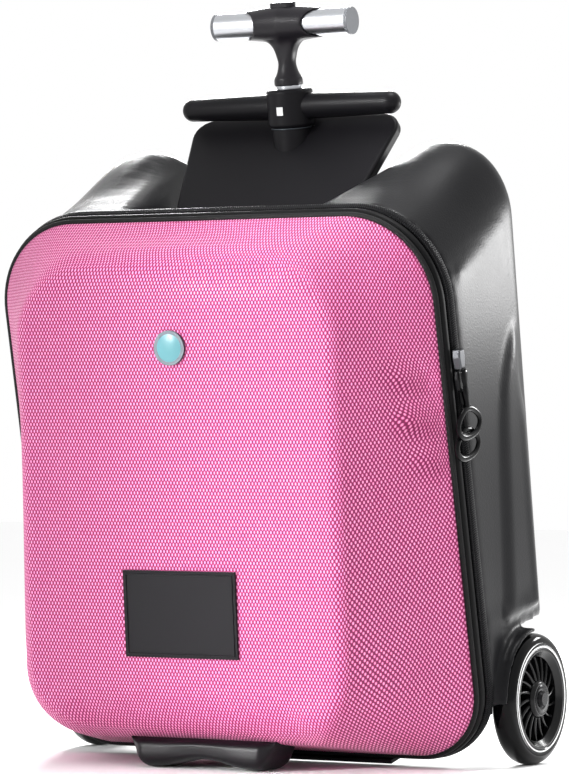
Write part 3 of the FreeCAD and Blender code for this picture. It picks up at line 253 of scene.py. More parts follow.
def noise(material, scale, detail=3.0):
    """Noise at a scale given in cycles per metre."""
    place = node(material, "ShaderNodeTexCoord")
    texture = node(material, "ShaderNodeTexNoise")
    texture.inputs["Scale"].default_value = scale
    texture.inputs["Detail"].default_value = detail
    link(material, place.outputs["Object"], texture.inputs["Vector"])
    return texture.outputs["Fac"]


def remap(material, value, low, high):
    ramp = node(material, "ShaderNodeMapRange")
    ramp.inputs["To Min"].default_value = low
    ramp.inputs["To Max"].default_value = high
    link(material, value, ramp.inputs["Value"])
    return ramp.outputs["Result"]


def add_bump(material, height, distance, strength=1.0):
    bump = node(material, "ShaderNodeBump")
    bump.inputs["Distance"].default_value = distance
    bump.inputs["Strength"].default_value = strength
    link(material, height, bump.inputs["Height"])
    link(material, bump.outputs["Normal"], shader_of(material).inputs["Normal"])


def mix_colours(material, fac, first, second):
    mix = node(material, "ShaderNodeMix", data_type="RGBA")
    mix.inputs["A"].default_value = first
    mix.inputs["B"].default_value = second
    link(material, fac, mix.inputs["Factor"])
    return mix.outputs["Result"]


def moulded(name, colour, roughness, grain=900.0, depth=0.00008, **sockets):
    """Moulded plastic or rubber: fine grain, and a little unevenness in colour and gloss."""
    material = new_material(name, colour, roughness, **sockets)
    shader = shader_of(material)
    add_bump(material, noise(material, grain, 2.0), depth)
    broad = noise(material, BROAD_SCALE)
    gloss = remap(material, broad, roughness * GLOSS_LOW, roughness * GLOSS_HIGH)
    link(material, gloss, shader.inputs["Roughness"])
    dark = tuple(SHADE_LOW * c for c in colour[:3]) + (1.0,)
    light = tuple(min(1.0, SHADE_HIGH * c) for c in colour[:3]) + (1.0,)
    link(material, mix_colours(material, broad, dark, light), shader.inputs["Base Color"])
    return material


def brushed(name, colour, roughness, along):
    """Metal with fine lines along one axis."""
    material = new_material(name, colour, roughness, Metallic=1.0)
    place = node(material, "ShaderNodeTexCoord")
    stretch = node(material, "ShaderNodeMapping")
    scale = tuple(LINES_ALONG if axis == along else LINES_ACROSS for axis in "xyz")
    stretch.inputs["Scale"].default_value = scale
    lines = node(material, "ShaderNodeTexNoise")
    lines.inputs["Scale"].default_value = 1.0
    lines.inputs["Detail"].default_value = 2.0
    link(material, place.outputs["Object"], stretch.inputs["Vector"])
    link(material, stretch.outputs["Vector"], lines.inputs["Vector"])
    add_bump(material, lines.outputs["Fac"], 0.00002, 0.6)
    link(material, remap(material, lines.outputs["Fac"], roughness * 0.75, roughness * 1.3),
         shader_of(material).inputs["Roughness"])
    return material


def math_node(material, operation, first, second=None):
    made = node(material, "ShaderNodeMath", operation=operation)
    for index, value in enumerate((first, second)):
        if value is None:
            continue
        if isinstance(value, (int, float)):
            made.inputs[index].default_value = value
        else:
            link(material, value, made.inputs[index])
    return made.outputs[0]


def oval_weave(material, pitch, oval):
    """Height of staggered raised ovals over the cloth's own coordinates, given in millimetres."""
    cloth = node(material, "ShaderNodeUVMap", uv_map="cloth")
    split = node(material, "ShaderNodeSeparateXYZ")
    link(material, cloth.outputs["UV"], split.inputs["Vector"])
    row = math_node(material, "DIVIDE", split.outputs["Y"], pitch[1])
    shift = math_node(material, "MULTIPLY", math_node(material, "FLOOR", row), 0.5)
    column = math_node(material, "ADD", math_node(material, "DIVIDE", split.outputs["X"], pitch[0]), shift)
    squares = []
    for cell, size, half in ((column, pitch[0], oval[0]), (row, pitch[1], oval[1])):
        offset = math_node(material, "SUBTRACT", math_node(material, "FRACT", cell), 0.5)
        squares.append(math_node(material, "POWER", math_node(
            material, "ABSOLUTE", math_node(material, "MULTIPLY", offset, size / half)), 2.0))
    radius = math_node(material, "SQRT", math_node(material, "ADD", squares[0], squares[1]))
    height = node(material, "ShaderNodeMapRange", interpolation_type="SMOOTHSTEP")
    height.inputs["From Min"].default_value = OVAL_FOOT
    height.inputs["From Max"].default_value = OVAL_TOP
    link(material, radius, height.inputs["Value"])
    return height.outputs["Result"]


def ribbed(name, colour, roughness, pitch, slant, depth):
    """Zip tape with fine slanting ribs across its run, whose coordinates are in millimetres. The ribs' crests
    are painted lighter and their grooves darker: painted highlight and painted shade.
    """
    material = new_material(name, colour, roughness)
    run = node(material, "ShaderNodeUVMap", uv_map="run")
    split = node(material, "ShaderNodeSeparateXYZ")
    link(material, run.outputs["UV"], split.inputs["Vector"])
    across = math_node(material, "MULTIPLY", split.outputs["X"], slant)
    along = math_node(material, "ADD", split.outputs["Y"], across)
    wave = math_node(material, "SINE", math_node(material, "MULTIPLY", along, 2 * math.pi / pitch))
    height = math_node(material, "ADD", math_node(material, "MULTIPLY", wave, 0.5), 0.5)
    # Painted shade in the grooves, painted highlight on the crests of the ribs.
    dark = tuple(RIB_SHADE * c for c in colour[:3]) + (1.0,)
    light = tuple(RIB_HIGHLIGHT * c for c in colour[:3]) + (1.0,)
    link(material, mix_colours(material, height, dark, light), shader_of(material).inputs["Base Color"])
    shader_of(material).inputs["Specular IOR Level"].default_value = 0.08
    add_bump(material, height, depth, 0.9)
    return material


def pink_cloth():
    """Pink cloth coloured by the height of its grains: a painted highlight on their pale tops and painted
    shade on the dark ground between them, uneven from grain to grain.
    """
    material = new_material("pink_weave", srgb(222, 92, 158), 0.5, Sheen_Weight=0.1, Sheen_Roughness=0.4,
                            Specular_IOR_Level=0.5)
    height = oval_weave(material, WEAVE_PITCH, WEAVE_OVAL)
    uneven = remap(material, noise(material, GRAIN_SCALE, 2.0), GRAIN_LOW, GRAIN_HIGH)
    # Colour follows grain height: painted shade between the grains, painted highlight on their tops.
    ramp = node(material, "ShaderNodeValToRGB")
    ramp.color_ramp.elements[0].position = 0.02
    ramp.color_ramp.elements[0].color = CLOTH_HOLE_SHADE
    ramp.color_ramp.elements[1].position = 1.0
    ramp.color_ramp.elements[1].color = CLOTH_TOP_HIGHLIGHT
    middle = ramp.color_ramp.elements.new(0.5)
    middle.color = CLOTH_FLANK
    link(material, math_node(material, "MULTIPLY", height, uneven), ramp.inputs["Fac"])
    link(material, ramp.outputs["Color"], shader_of(material).inputs["Base Color"])
    threads = math_node(material, "MULTIPLY", noise(material, THREAD_SCALE, 2.0), THREAD_HEIGHT)
    add_bump(material, math_node(material, "ADD", height, threads), CLOTH_DEPTH, 0.6)
    link(material, remap(material, height, CLOTH_DULL, CLOTH_GLOSS), shader_of(material).inputs["Roughness"])
    return material


SHELL = moulded("shell_plastic", srgb(20, 20, 22), 0.34, 700.0, 0.00012, Specular_IOR_Level=0.1)
SEAT = moulded("seat_plastic", srgb(18, 17, 20), 0.42, 1100.0, 0.00006, Specular_IOR_Level=0.12)
HEAD = moulded("head_plastic", srgb(25, 23, 27), 0.36, 1300.0, 0.00005, Specular_IOR_Level=0.22)
CAP = moulded("cap_plastic", srgb(104, 106, 110), 0.5, Specular_IOR_Level=0.3)
WHITE = moulded("button_plastic", srgb(236, 236, 236), 0.35)
ALUMINIUM = brushed("satin_aluminium", srgb(186, 188, 192), 0.3, "x")
STEEL = brushed("turned_steel", srgb(180, 182, 186), 0.25, "x")
BOLT = moulded("bolt_black", srgb(10, 10, 12), 0.25, Specular_IOR_Level=0.15)
TYRE = moulded("tyre_urethane", srgb(5, 5, 6), 0.1, 500.0, 0.00002, Specular_IOR_Level=0.12)
HUB = moulded("hub_plastic", srgb(9, 9, 10), 0.2, 1200.0, 0.00003, Specular_IOR_Level=0.2)
STRIPE = moulded("stripe_paint", srgb(236, 236, 236), 0.4, 900.0, 0.00002)
TAPE = moulded("woven_tape", srgb(12, 12, 13), 0.6, 2200.0, 0.0002, Specular_IOR_Level=0.2)
BINDING = moulded("binding_tape", srgb(12, 12, 13), 0.5, 1800.0, 0.0001, Specular_IOR_Level=0.08)
COIL = ribbed("coil_tape", srgb(15, 15, 17), 0.5, 1.7, 0.35, 0.0005)
FOOT = moulded("foot_rubber", srgb(16, 15, 18), 0.36, 1000.0, 0.00008, Specular_IOR_Level=0.18)
CHROME = moulded("bright_metal", srgb(92, 98, 104), 0.5, 600.0, 0.00001, Metallic=1.0)
SLIDER = moulded("slider_metal", srgb(84, 85, 88), 0.34, 600.0, 0.00001, Metallic=1.0)
BLUE = moulded("badge_enamel", srgb(84, 134, 141), 0.3, 400.0, 0.00002, Specular_IOR_Level=0.3)
LABEL_RUBBER = moulded("label_rubber", srgb(21, 20, 23), 0.5, 1500.0, 0.00008, Specular_IOR_Level=0.12)
PULL = moulded("pull_plastic", srgb(5, 5, 6), 0.14, 900.0, 0.00002, Specular_IOR_Level=0.1)
LINING = moulded("lining_cloth", srgb(120, 122, 128), 0.8, 2600.0, 0.00015)
PINK = pink_cloth()

BY_SLOT = {
    "shell_black": SHELL, "seat_black": SEAT, "head_black": HEAD, "cap_grey": CAP, "button_white": WHITE,
    "tube_aluminium": ALUMINIUM, "steel": STEEL, "bolt_black": BOLT, "tyre": TYRE,
    "hub_black": HUB, "cover_pink": PINK, "tape_black": TAPE, "foot_black": FOOT, "badge_silver": CHROME,
    "badge_blue": BLUE, "label_grey": LABEL_RUBBER, "slider_silver": SLIDER, "pull_black": PULL,
}


def dress_nodes():
    """Give each CAD node the material of its slot."""
    for sub in frame["record"]["subparts"]:
        item = nodes[sub["node"]]
        item.data.materials.clear()
        item.data.materials.append(BY_SLOT[sub["material_slot"]])
    nodes["zip_slider_lower"].data.materials[0] = BOLT


# Outlines of the cover and the zip

def rounded_outline(half_width, top, bottom, corner_top, corner_bottom, arc_steps=20, line_steps=24):
    """Points of a rounded rectangle with their outward directions, from the right side's lower end."""
    corners = ((half_width, top, corner_top, 0), (-half_width, top, corner_top, 90),
               (-half_width, bottom, corner_bottom, 180), (half_width, bottom, corner_bottom, 270))
    centres = [(x - math.copysign(r, x), y - (r if y == top else -r), r, a) for x, y, r, a in corners]
    points = []
    for index, (x, y, r, start) in enumerate(centres):
        for step in range(arc_steps + 1):
            angle = math.radians(start + 90.0 * step / arc_steps)
            out = Vector((math.cos(angle), math.sin(angle)))
            points.append((Vector((x, y)) + out * r, out))
        nx, ny, nr, _ = centres[(index + 1) % 4]
        out = points[-1][1]
        end = Vector((nx, ny)) + out * nr
        begin = points[-1][0]
        for step in range(1, line_steps):
            points.append((begin.lerp(end, step / line_steps), out))
    return points


def on_zip(x, forward, up):
    """Zip plane coordinates, in millimetres, to the part's frame."""
    return CASE @ Vector((x, ZIP_Y - up * math.sin(ZIP_LEAN) - forward * math.cos(ZIP_LEAN),
                          up * math.cos(ZIP_LEAN) - forward * math.sin(ZIP_LEAN)))


def on_front(x, up, out=0.0):
    """Front face coordinates, in millimetres, to the part's frame."""
    return CASE @ Vector((x, FRONT_Y + up * math.sin(FRONT_LEAN) - out * math.cos(FRONT_LEAN),
                          up * math.cos(FRONT_LEAN) + out * math.sin(FRONT_LEAN)))


def zip_outline(inset):
    return rounded_outline(ZIP_HALF_WIDTH - inset, ZIP_TOP - inset, ZIP_BOTTOM + inset,
                           ZIP_CORNER_TOP - inset, ZIP_CORNER_BOTTOM - inset)


def new_object(name, verts, faces, material, body, smooth=True):
    mesh = bpy.data.meshes.new(name)
    mesh.from_pydata([tuple(v) for v in verts], [], faces)
    mesh.validate()
    mesh.update()
    for polygon in mesh.polygons:
        polygon.use_smooth = smooth
    item = bpy.data.objects.new(name, mesh)
    bpy.context.scene.collection.objects.link(item)
    item.data.materials.append(material)
    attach(item, body)
    return item


def loop_faces(rings, count, closed_profile):
    """Quads between neighbouring rings of equal point count."""
    faces = []
    last = rings if closed_profile else rings - 1
    for ring in range(last):
        following = (ring + 1) % rings
        for i in range(count):
            j = (i + 1) % count
            faces.append((ring * count + i, ring * count + j, following * count + j, following * count + i))
    return faces


def turn_outward(item):
    """Make the faces of a closed mesh look outward."""
    cells = bmesh.new()
    cells.from_mesh(item.data)
    bmesh.ops.recalc_face_normals(cells, faces=cells.faces)
    cells.to_mesh(item.data)
    cells.free()


def run_lengths(points):
    """Lengths along a closed run of points, ending with the whole length."""
    lengths = [0.0]
    for i, point in enumerate(points):
        lengths.append(lengths[-1] + (points[(i + 1) % len(points)] - point).length)
    return lengths


def sweep_on_zip(name, inset, profile, material, body):
    """Sweep a closed profile of (outward, forward) points round the zip opening."""
    outline = zip_outline(inset)
    verts = [on_zip(p.x + d.x * out, forward, p.y + d.y * out)
             for out, forward in profile for p, d in outline]
    item = new_object(name, verts, loop_faces(len(profile), len(outline), True), material, body)
    along = run_lengths([p for p, d in outline])
    round_it = run_lengths([Vector(p) for p in profile])
    layer = item.data.uv_layers.new(name="run")
    count = len(outline)
    for index, polygon in enumerate(item.data.polygons):
        ring, i = divmod(index, count)
        corners = ((ring, i), (ring, i + 1), (ring + 1, i + 1), (ring + 1, i))
        for loop, (a, b) in zip(polygon.loop_indices, corners):
            layer.data[loop].uv = (round_it[a], along[b])
    turn_outward(item)
    return item


def smooth_step(low, high, value):
    t = min(1.0, max(0.0, (value - low) / (high - low)))
    return t * t * (3.0 - 2.0 * t)


def pressed(up, t):
    """Depth of the creases near the pulls at a height and a share of the way to the front."""
    depth = 0.0
    for height, share, deep, tilt in PRESSED:
        across = (t - share) / PRESS_REACH
        along = (up - height - PRESS_RISE * tilt * (t - share)) / PRESS_HALF_HEIGHT
        depth += deep * math.exp(-across * across - along * along)
    return depth * smooth_step(0.0, PRESS_FREE, t)


def pink_cover():
    """The cover's skin: sloping sides, rounded front edges and a flat front, with cloth coordinates."""
    edge = rounded_outline(ZIP_HALF_WIDTH - COVER_STEP, ZIP_TOP - COVER_STEP, ZIP_BOTTOM + COVER_STEP,
                           ZIP_CORNER_TOP - COVER_STEP, ZIP_CORNER_BOTTOM - COVER_STEP,
                           COVER_ARC_STEPS, COVER_LINE_STEPS)
    face = rounded_outline(FRONT_HALF_WIDTH, FRONT_TOP, FRONT_BOTTOM, FRONT_CORNER_TOP, FRONT_CORNER_BOTTOM,
                           COVER_ARC_STEPS, COVER_LINE_STEPS)
    count = len(face)
    rings = COVER_SLOPE_STEPS + COVER_ROUND_STEPS + 1
    grid = [[None] * count for _ in range(rings)]
    for i in range(count):
        (corner, out), rim = face[i], edge[i][0]
        if corner.x < 0.0:
            fuller = 1.0 - smooth_step(20.0, 260.0, corner.y)
            corner = corner - Vector((FRONT_SPREAD * fuller * smooth_step(0.0, 110.0, -corner.x), 0.0))
        start = on_zip(rim.x, BAND_DEPTH, rim.y)
        sharp = on_front(corner.x, corner.y)
        back = (start - sharp).normalized()
        inward = (on_front(corner.x - out.x, corner.y - out.y) - sharp).normalized()
        opening = back.angle(inward)
        aside = FRONT_ROUND_RIGHT if out.x > 0 else FRONT_ROUND_LEFT
        radius = FRONT_ROUND_TOP + (aside - FRONT_ROUND_TOP) * smooth_step(0.1, 0.95, abs(out.x))
        tangent = radius * MM / math.tan(opening / 2)
        first, last = sharp + back * tangent, sharp + inward * tangent
        middle = sharp + (back + inward).normalized() * (radius * MM / math.sin(opening / 2))
        turn = math.pi - opening
        slope_normal = (first - middle).normalized()
        for k in range(COVER_SLOPE_STEPS):
            t = k / COVER_SLOPE_STEPS
            spot = start.lerp(first, t)
            dent = DENT_DEPTH * max(0.0, field.noise(spot * DENT_SCALE)) * math.sin(math.pi * t)
            if out.x > 0.99:
                dent += pressed(rim.y, t)
            grid[k][i] = spot - slope_normal * (dent * MM)
        axis = (first - middle).cross(last - middle).normalized()
        for k in range(COVER_ROUND_STEPS + 1):
            spin = Matrix.Rotation(turn * k / COVER_ROUND_STEPS, 3, axis)
            grid[COVER_SLOPE_STEPS + k][i] = middle + spin @ (first - middle)
    verts = [v for ring in grid for v in ring]
    uvs = []
    for index, v in enumerate(verts):
        spot = (TO_CASE @ v).xz
        fold, out = face[index % count]
        beyond = smooth_step(-FOLD_BLEND, FOLD_BLEND, (spot - fold).dot(out))
        uvs.append(spot + (spot - fold) * (CLOTH_DRAW * beyond))
    faces = loop_faces(rings, count, False)
    faces.append(tuple((rings - 1) * count + i for i in range(count)))
    item = new_object("pink_cover", verts, faces, PINK, "cover")
    layer = item.data.uv_layers.new(name="cloth")
    for entry in item.data.loops:
        layer.data[entry.index].uv = uvs[entry.vertex_index]
    item.data.materials.append(LINING)
    wall = item.modifiers.new("wall", "SOLIDIFY")
    wall.thickness = COVER_WALL * MM
    wall.offset = -1.0
    wall.material_offset = 1
    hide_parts("front_shell")


def round_profile(centre_out, centre_forward, half_out, half_forward, steps=16, power=2.6):
    """A superellipse profile."""
    points = []
    for k in range(steps):
        a = 2 * math.pi * k / steps
        c, s = math.cos(a), math.sin(a)
        points.append((centre_out + half_out * math.copysign(abs(c) ** (2 / power), c),
                       centre_forward + half_forward * math.copysign(abs(s) ** (2 / power), s)))
    return points


def zip_trim():
    """Zip bands, the coil between them and the piping along the cover."""
    rear = sweep_on_zip("rear_zip_tape", REAR_TAPE_INSET, round_profile(*REAR_TAPE), COIL, "case")
    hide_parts("rear_zip_band")
    front = sweep_on_zip("front_zip_tape", FRONT_TAPE_INSET, round_profile(*FRONT_TAPE), BINDING, "cover")
    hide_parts("front_zip_binding")
    coil = sweep_on_zip("zip_coil", ZIP_COIL_INSET, round_profile(*ZIP_COIL), COIL, "case")
    piping = sweep_on_zip("cover_piping", COVER_STEP, round_profile(*PIPING), TAPE, "cover")


# Wheels

def about_axle(x, radius, angle):
    """A point at a distance from the axle, in millimetres, to the part's frame."""
    return AXLE + Vector((x, radius * math.cos(angle), radius * math.sin(angle))) * MM


def ring_mesh(profile, steps):
    """Points and faces of a closed (x, radius) profile turned about the axle."""
    verts = [about_axle(x, radius, 2 * math.pi * k / steps) for x, radius in profile for k in range(steps)]
    return verts, loop_faces(len(profile), steps, True)


def spoke_mesh(side, base, steps=9):
    """One thin curved spoke, deeper at the boss than at the rim."""
    middle = side * (WHEEL_INNER + WHEEL_OUTER) / 2
    verts = []
    for k in range(steps + 1):
        t = k / steps
        radius = SPOKE_ROOT + SPOKE_LENGTH * t
        angle = base + side * SPOKE_SWEEP * t ** 1.5
        half, depth = SPOKE_HALF_WIDTH - SPOKE_WIDTH_TAPER * t, SPOKE_HALF_DEPTH - SPOKE_DEPTH_TAPER * t
        section = ((-half, -depth), (half, -depth), (half, depth - SPOKE_EDGE), (0.4 * half, depth),
                   (-0.4 * half, depth), (-half, depth - SPOKE_EDGE))
        for across, out in section:
            verts.append(about_axle(middle + side * out, radius, angle + across / radius))
    return verts, loop_faces(steps + 1, len(section), False)


def joined(meshes):
    """Several lists of points and faces as one."""
    verts, faces = [], []
    for more_verts, more_faces in meshes:
        faces += [tuple(i + len(verts) for i in face) for face in more_faces]
        verts += more_verts
    return verts, faces


def flat_ring(back, front, radii):
    """Profile of a thin flat ring between two places along the axle."""
    return [(back, radii[0]), (front, radii[0]), (front, radii[1]), (back, radii[1])]


def wheel_pieces(side, name):
    """A spoked hub with lipped rim and boss, the tyre, the painted stripe round it and the bearing's seal."""
    inner, outer = side * WHEEL_INNER, side * WHEEL_OUTER
    body = "wheel_" + name
    # Profiles of the rim and the boss: place along the axle, radius.
    rim = [(inner, TYRE_SEAT), (inner, 36.4), (inner + side * 1.6, 35.2), (inner + side * 4.0, 32.0),
           (outer - side * 4.0, 32.0), (outer - side * 1.6, 35.2), (outer, 36.4), (outer, TYRE_SEAT)]
    boss = [(inner, 11.0), (inner, 13.4), (inner + side * 1.2, 14.4), (outer - side * 2.6, 14.4),
            (outer - side * 0.6, 13.2), (outer, 12.4), (outer, 11.0)]
    spokes = [spoke_mesh(side, 2 * math.pi * k / SPOKES) for k in range(SPOKES)]
    rings = [ring_mesh(rim, 96), ring_mesh(boss, BOSS_STEPS)]
    hub = new_object("spoked_hub_" + name, *joined(rings + spokes), HUB, body)
    turn_outward(hub)
    edge = hub.modifiers.new("edge", "BEVEL")
    edge.width, edge.segments, edge.limit_method = 0.3 * MM, 2, "ANGLE"
    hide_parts("wheel_hub_" + name)
    crown = [(inner, TYRE_SEAT), (outer, TYRE_SEAT), (outer, TYRE_SHOULDER)]
    half = (WHEEL_OUTER - WHEEL_INNER) / 2
    for k in range(TYRE_STEPS + 1):
        a = math.pi * k / TYRE_STEPS
        across = half * math.copysign(abs(math.cos(a)) ** TYRE_POWER, math.cos(a))
        crown.append((side * (WHEEL_INNER + half + across),
                      TYRE_SHOULDER + TYRE_CROWN * math.sin(a) ** TYRE_POWER))
    crown.append((inner, TYRE_SHOULDER))
    tyre = new_object("round_tyre_" + name, *ring_mesh(crown, WHEEL_STEPS), TYRE, body)
    turn_outward(tyre)
    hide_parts("tyre_" + name)
    stripe = flat_ring(outer - side * 0.3, outer + side * 0.12, STRIPE_RADII)
    band = new_object("tyre_stripe_" + name, *ring_mesh(stripe, WHEEL_STEPS), STRIPE, body)
    turn_outward(band)
    shield = flat_ring(outer - side * 0.5, outer + side * 0.08, SEAL_RADII)
    seal = new_object("bearing_seal_" + name, *ring_mesh(shield, BOSS_STEPS), BOLT, body)
    turn_outward(seal)


# Zip pulls

def corner_cut(points, times):
    """Round a closed polygon by cutting its corners."""
    for _ in range(times):
        cut = []
        for i, point in enumerate(points):
            following = points[(i + 1) % len(points)]
            cut += [point.lerp(following, 0.25), point.lerp(following, 0.75)]
        points = cut
    return points


def pull_ring(middle_up, middle_out):
    """The open ring of a pull: an oval bar swept round a rounded trapezium."""
    half, tall = RING_HALF_WIDTH - RING_BAR / 2, RING_HEIGHT / 2 - RING_BAR / 2
    path = corner_cut([Vector(p) for p in (
        (0.55 * half, -tall), (half, -0.45 * tall), (half, 0.2 * tall), (0.3 * half, tall),
        (-0.3 * half, tall), (-half, 0.2 * tall), (-half, -0.45 * tall), (-0.55 * half, -tall))], 3)
    verts, steps = [], 10
    for k in range(steps):
        a = 2 * math.pi * k / steps
        for i, point in enumerate(path):
            tangent = (path[(i + 1) % len(path)] - path[i - 1]).normalized()
            spot = point + Vector((tangent.y, -tangent.x)) * (RING_BAR / 2 * math.cos(a))
            out = middle_out + PULL_SWELL * PULL_THICKNESS / 2 * math.sin(a)
            verts.append(on_zip(ZIP_HALF_WIDTH + out, spot.x, middle_up + spot.y))
    return verts, loop_faces(steps, len(path), True)


def pull_link(top, middle_out):
    """The faceted link of a pull, with two beads and a waist."""
    verts, sides = [], 8
    for down, half in LINK_STATIONS:
        for k in range(sides):
            a = 2 * math.pi * (k + 0.5) / sides
            verts.append(on_zip(ZIP_HALF_WIDTH + middle_out + PULL_SWELL * PULL_THICKNESS / 2 * math.sin(a),
                                LINK_SPREAD * half * math.cos(a), top - down))
    faces = loop_faces(len(LINK_STATIONS), sides, False)
    faces += [tuple(range(sides)), tuple(range(len(verts) - sides, len(verts)))]
    return verts, faces


def zip_pulls():
    """Both pulls, each a link and a ring in one piece."""
    for name in ("upper", "lower"):
        top = SLIDER_LOW[name] - SLIDER_GAP
        out = PULL_LIFT[name] + PULL_THICKNESS / 2
        middle = top - PULL_LINK - RING_HEIGHT / 2 + RING_BAR / 2
        item = new_object("pull_" + name, *joined([pull_link(top, out), pull_ring(middle, out)]), PULL,
                          "pull_" + name)
        turn_outward(item)
        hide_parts("zip_pull_" + name)


# Pole

def sleeve_ring():
    """A thin bright ring under the cross bar's sleeve."""
    steps, verts = 64, []
    profile = round_profile(SLEEVE_RING_RADIUS, SLEEVE_RING_HEIGHT, 0.7, 0.5, 8, 2.0)
    for radius, height in profile:
        for k in range(steps):
            a = 2 * math.pi * k / steps
            verts.append(CASE @ Vector((radius * math.cos(a), POLE_Y + radius * math.sin(a), height)))
    item = new_object("sleeve_ring", verts, loop_faces(len(profile), steps, True), CHROME, "case")
    turn_outward(item)


def label_border():
    """A thin raised border on the bare label plate."""
    left, right, low, high = LABEL
    crest = LABEL_HEIGHT + BORDER_HEIGHT
    verts = []
    for out, grow in ((LABEL_HEIGHT, 0.0), (crest, BORDER_SLANT), (crest, BORDER_WIDTH - BORDER_SLANT),
                      (LABEL_HEIGHT, BORDER_WIDTH)):
        g = BORDER_INSET + grow
        corners = ((left + g, low + g), (right - g, low + g), (right - g, high - g), (left + g, high - g))
        verts += [on_front(x, up, out) for x, up in corners]
    item = new_object("label_border", verts, loop_faces(4, 4, True), LABEL_RUBBER, "cover", smooth=False)


# Shell, foot and handle head with softer forms

def relax(cells, verts, passes):
    """Smooth some points of a mesh."""
    for _ in range(passes):
        bmesh.ops.smooth_vert(cells, verts=verts, factor=0.5,
                              use_axis_x=True, use_axis_y=True, use_axis_z=True)


def smooth_copy(name, source, voxel, passes, material, body, moved=None, softer=None):
    """A fine even copy of a node's form with rounded edges. moved gives the new place of a point of the case,
    and softer the heights between which the form is smoothed further."""
    cells = bmesh.new()
    cells.from_mesh(nodes[source].data)
    bmesh.ops.remove_doubles(cells, verts=cells.verts, dist=1e-6)
    mesh = bpy.data.meshes.new(name)
    cells.to_mesh(mesh)
    cells.free()
    item = bpy.data.objects.new(name, mesh)
    bpy.context.scene.collection.objects.link(item)
    even = item.modifiers.new("even", "REMESH")
    even.mode, even.voxel_size = "VOXEL", voxel * MM
    bpy.context.view_layer.update()
    graph = bpy.context.evaluated_depsgraph_get()
    fine = bpy.data.meshes.new_from_object(item.evaluated_get(graph))
    item.modifiers.clear()
    item.data = fine
    if moved:
        turned = TO_CASE.to_3x3()
        places = [CASE @ moved(TO_CASE @ v.co, (turned @ v.normal).normalized()) for v in fine.vertices]
        for vertex, place in zip(fine.vertices, places):
            vertex.co = place
    cells = bmesh.new()
    cells.from_mesh(fine)
    relax(cells, cells.verts, passes)
    if softer:
        low, high = softer
        band = [v for v in cells.verts if low < (TO_CASE @ v.co).z < high]
        relax(cells, band, NECK_PASSES * passes)
    cells.to_mesh(fine)
    cells.free()
    fine.materials.clear()
    fine.materials.append(material)
    for polygon in fine.polygons:
        polygon.use_smooth = True
    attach(item, body)
    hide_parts(source)
    return item


def crease_place(up):
    """How far to the rear the hip's crease lies at a height."""
    turned = max(0.0, (up - HIP_TURN) / (HIP_TOP - HIP_TURN))
    return HIP_START + HIP_LEAN * (up - HIP_LOW) + HIP_SWEEP * turned ** HIP_POWER


def shell_form(p, normal):
    """Higher rear ends of the wings, soft hips on the side walls, and a rim that laps into the zip tape."""
    x, y, z = p
    side = abs(x)
    rise = smooth_step(*WING_Y, y) * smooth_step(*WING_Z, z) * smooth_step(*WING_SIDE, side)
    wall = WALL_FRONT + WALL_SLOPE * (y - WALL_START)
    if side > wall - WALL_MARGIN and normal.x * x > WALL_FACING * side:
        inside = HIP_SKEW * (y - crease_place(z))
        hip = HIP_HEIGHT * smooth_step(0.0, HIP_BLEND, inside)
        share = smooth_step(*HIP_FROM_Z, z) * (1.0 - smooth_step(*HIP_TO_Y, y))
        share *= 1.0 - smooth_step(*HIP_TO_Z, z)
        share *= smooth_step(*HIP_FROM_Y, y)
        side += (wall + hip - side) * share
    forward = -(y - ZIP_Y) * math.cos(ZIP_LEAN) - z * math.sin(ZIP_LEAN)
    lap = RIM_LAP * smooth_step(-BAND_DEPTH - RIM_REACH, -BAND_DEPTH, forward)
    return Vector((math.copysign(side, x), y - lap * math.cos(ZIP_LEAN),
                   z + WING_RISE * rise - lap * math.sin(ZIP_LEAN)))


def foot_bottom(x):
    """Height of the foot's underside: two lobes with an arch between, and ends that curl up."""
    side = abs(x)
    if side <= FOOT_LOBE:
        return FOOT_ARCH * (0.5 + 0.5 * math.cos(math.pi * side / FOOT_LOBE))
    return FOOT_END_RISE * ((side - FOOT_LOBE) / (FOOT_HALF_WIDTH - FOOT_LOBE)) ** 2


def lobed_foot():
    """The front foot as a rounded bar with lobes and a shallow crease along its front."""
    low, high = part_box("front_foot")
    front, rear, top = low.y / MM, high.y / MM, high.z / MM
    verts = []
    for k in range(FOOT_STATIONS + 1):
        x = FOOT_HALF_WIDTH * (2.0 * k / FOOT_STATIONS - 1.0)
        bottom = foot_bottom(x)
        tuck = 1.0 - FOOT_TUCK * smooth_step(FOOT_TUCK_FROM, 1.0, abs(x) / FOOT_HALF_WIDTH)
        for i in range(FOOT_AROUND):
            a = 2 * math.pi * i / FOOT_AROUND
            c, s = math.cos(a), math.sin(a)
            y = (front + rear) / 2 + (rear - front) / 2 * tuck * math.copysign(abs(c) ** FOOT_POWER, c)
            z = (top + bottom) / 2 + (top - bottom) / 2 * math.copysign(abs(s) ** FOOT_POWER, s)
            if c < 0.0:
                y += FOOT_CREASE * math.exp(-((z - FOOT_CREASE_PLACE * top) / FOOT_CREASE_WIDTH) ** 2)
            verts.append(Vector((x, y, z)) * MM)
    faces = loop_faces(FOOT_STATIONS + 1, FOOT_AROUND, False)
    faces += [tuple(range(FOOT_AROUND)), tuple(reversed(range(len(verts) - FOOT_AROUND, len(verts))))]
    item = new_object("moulded_foot", verts, faces, FOOT, "cover")
    turn_outward(item)
    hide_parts("front_foot")


def soft_forms():
    """The rear shell and the handle's head with softer forms."""
    shell = smooth_copy("moulded_shell", "back_shell", 2.6, 3, SHELL, "case", shell_form)
    head = smooth_copy("moulded_head", "t_head", 0.8, 8, HEAD, "handle", softer=NECK)


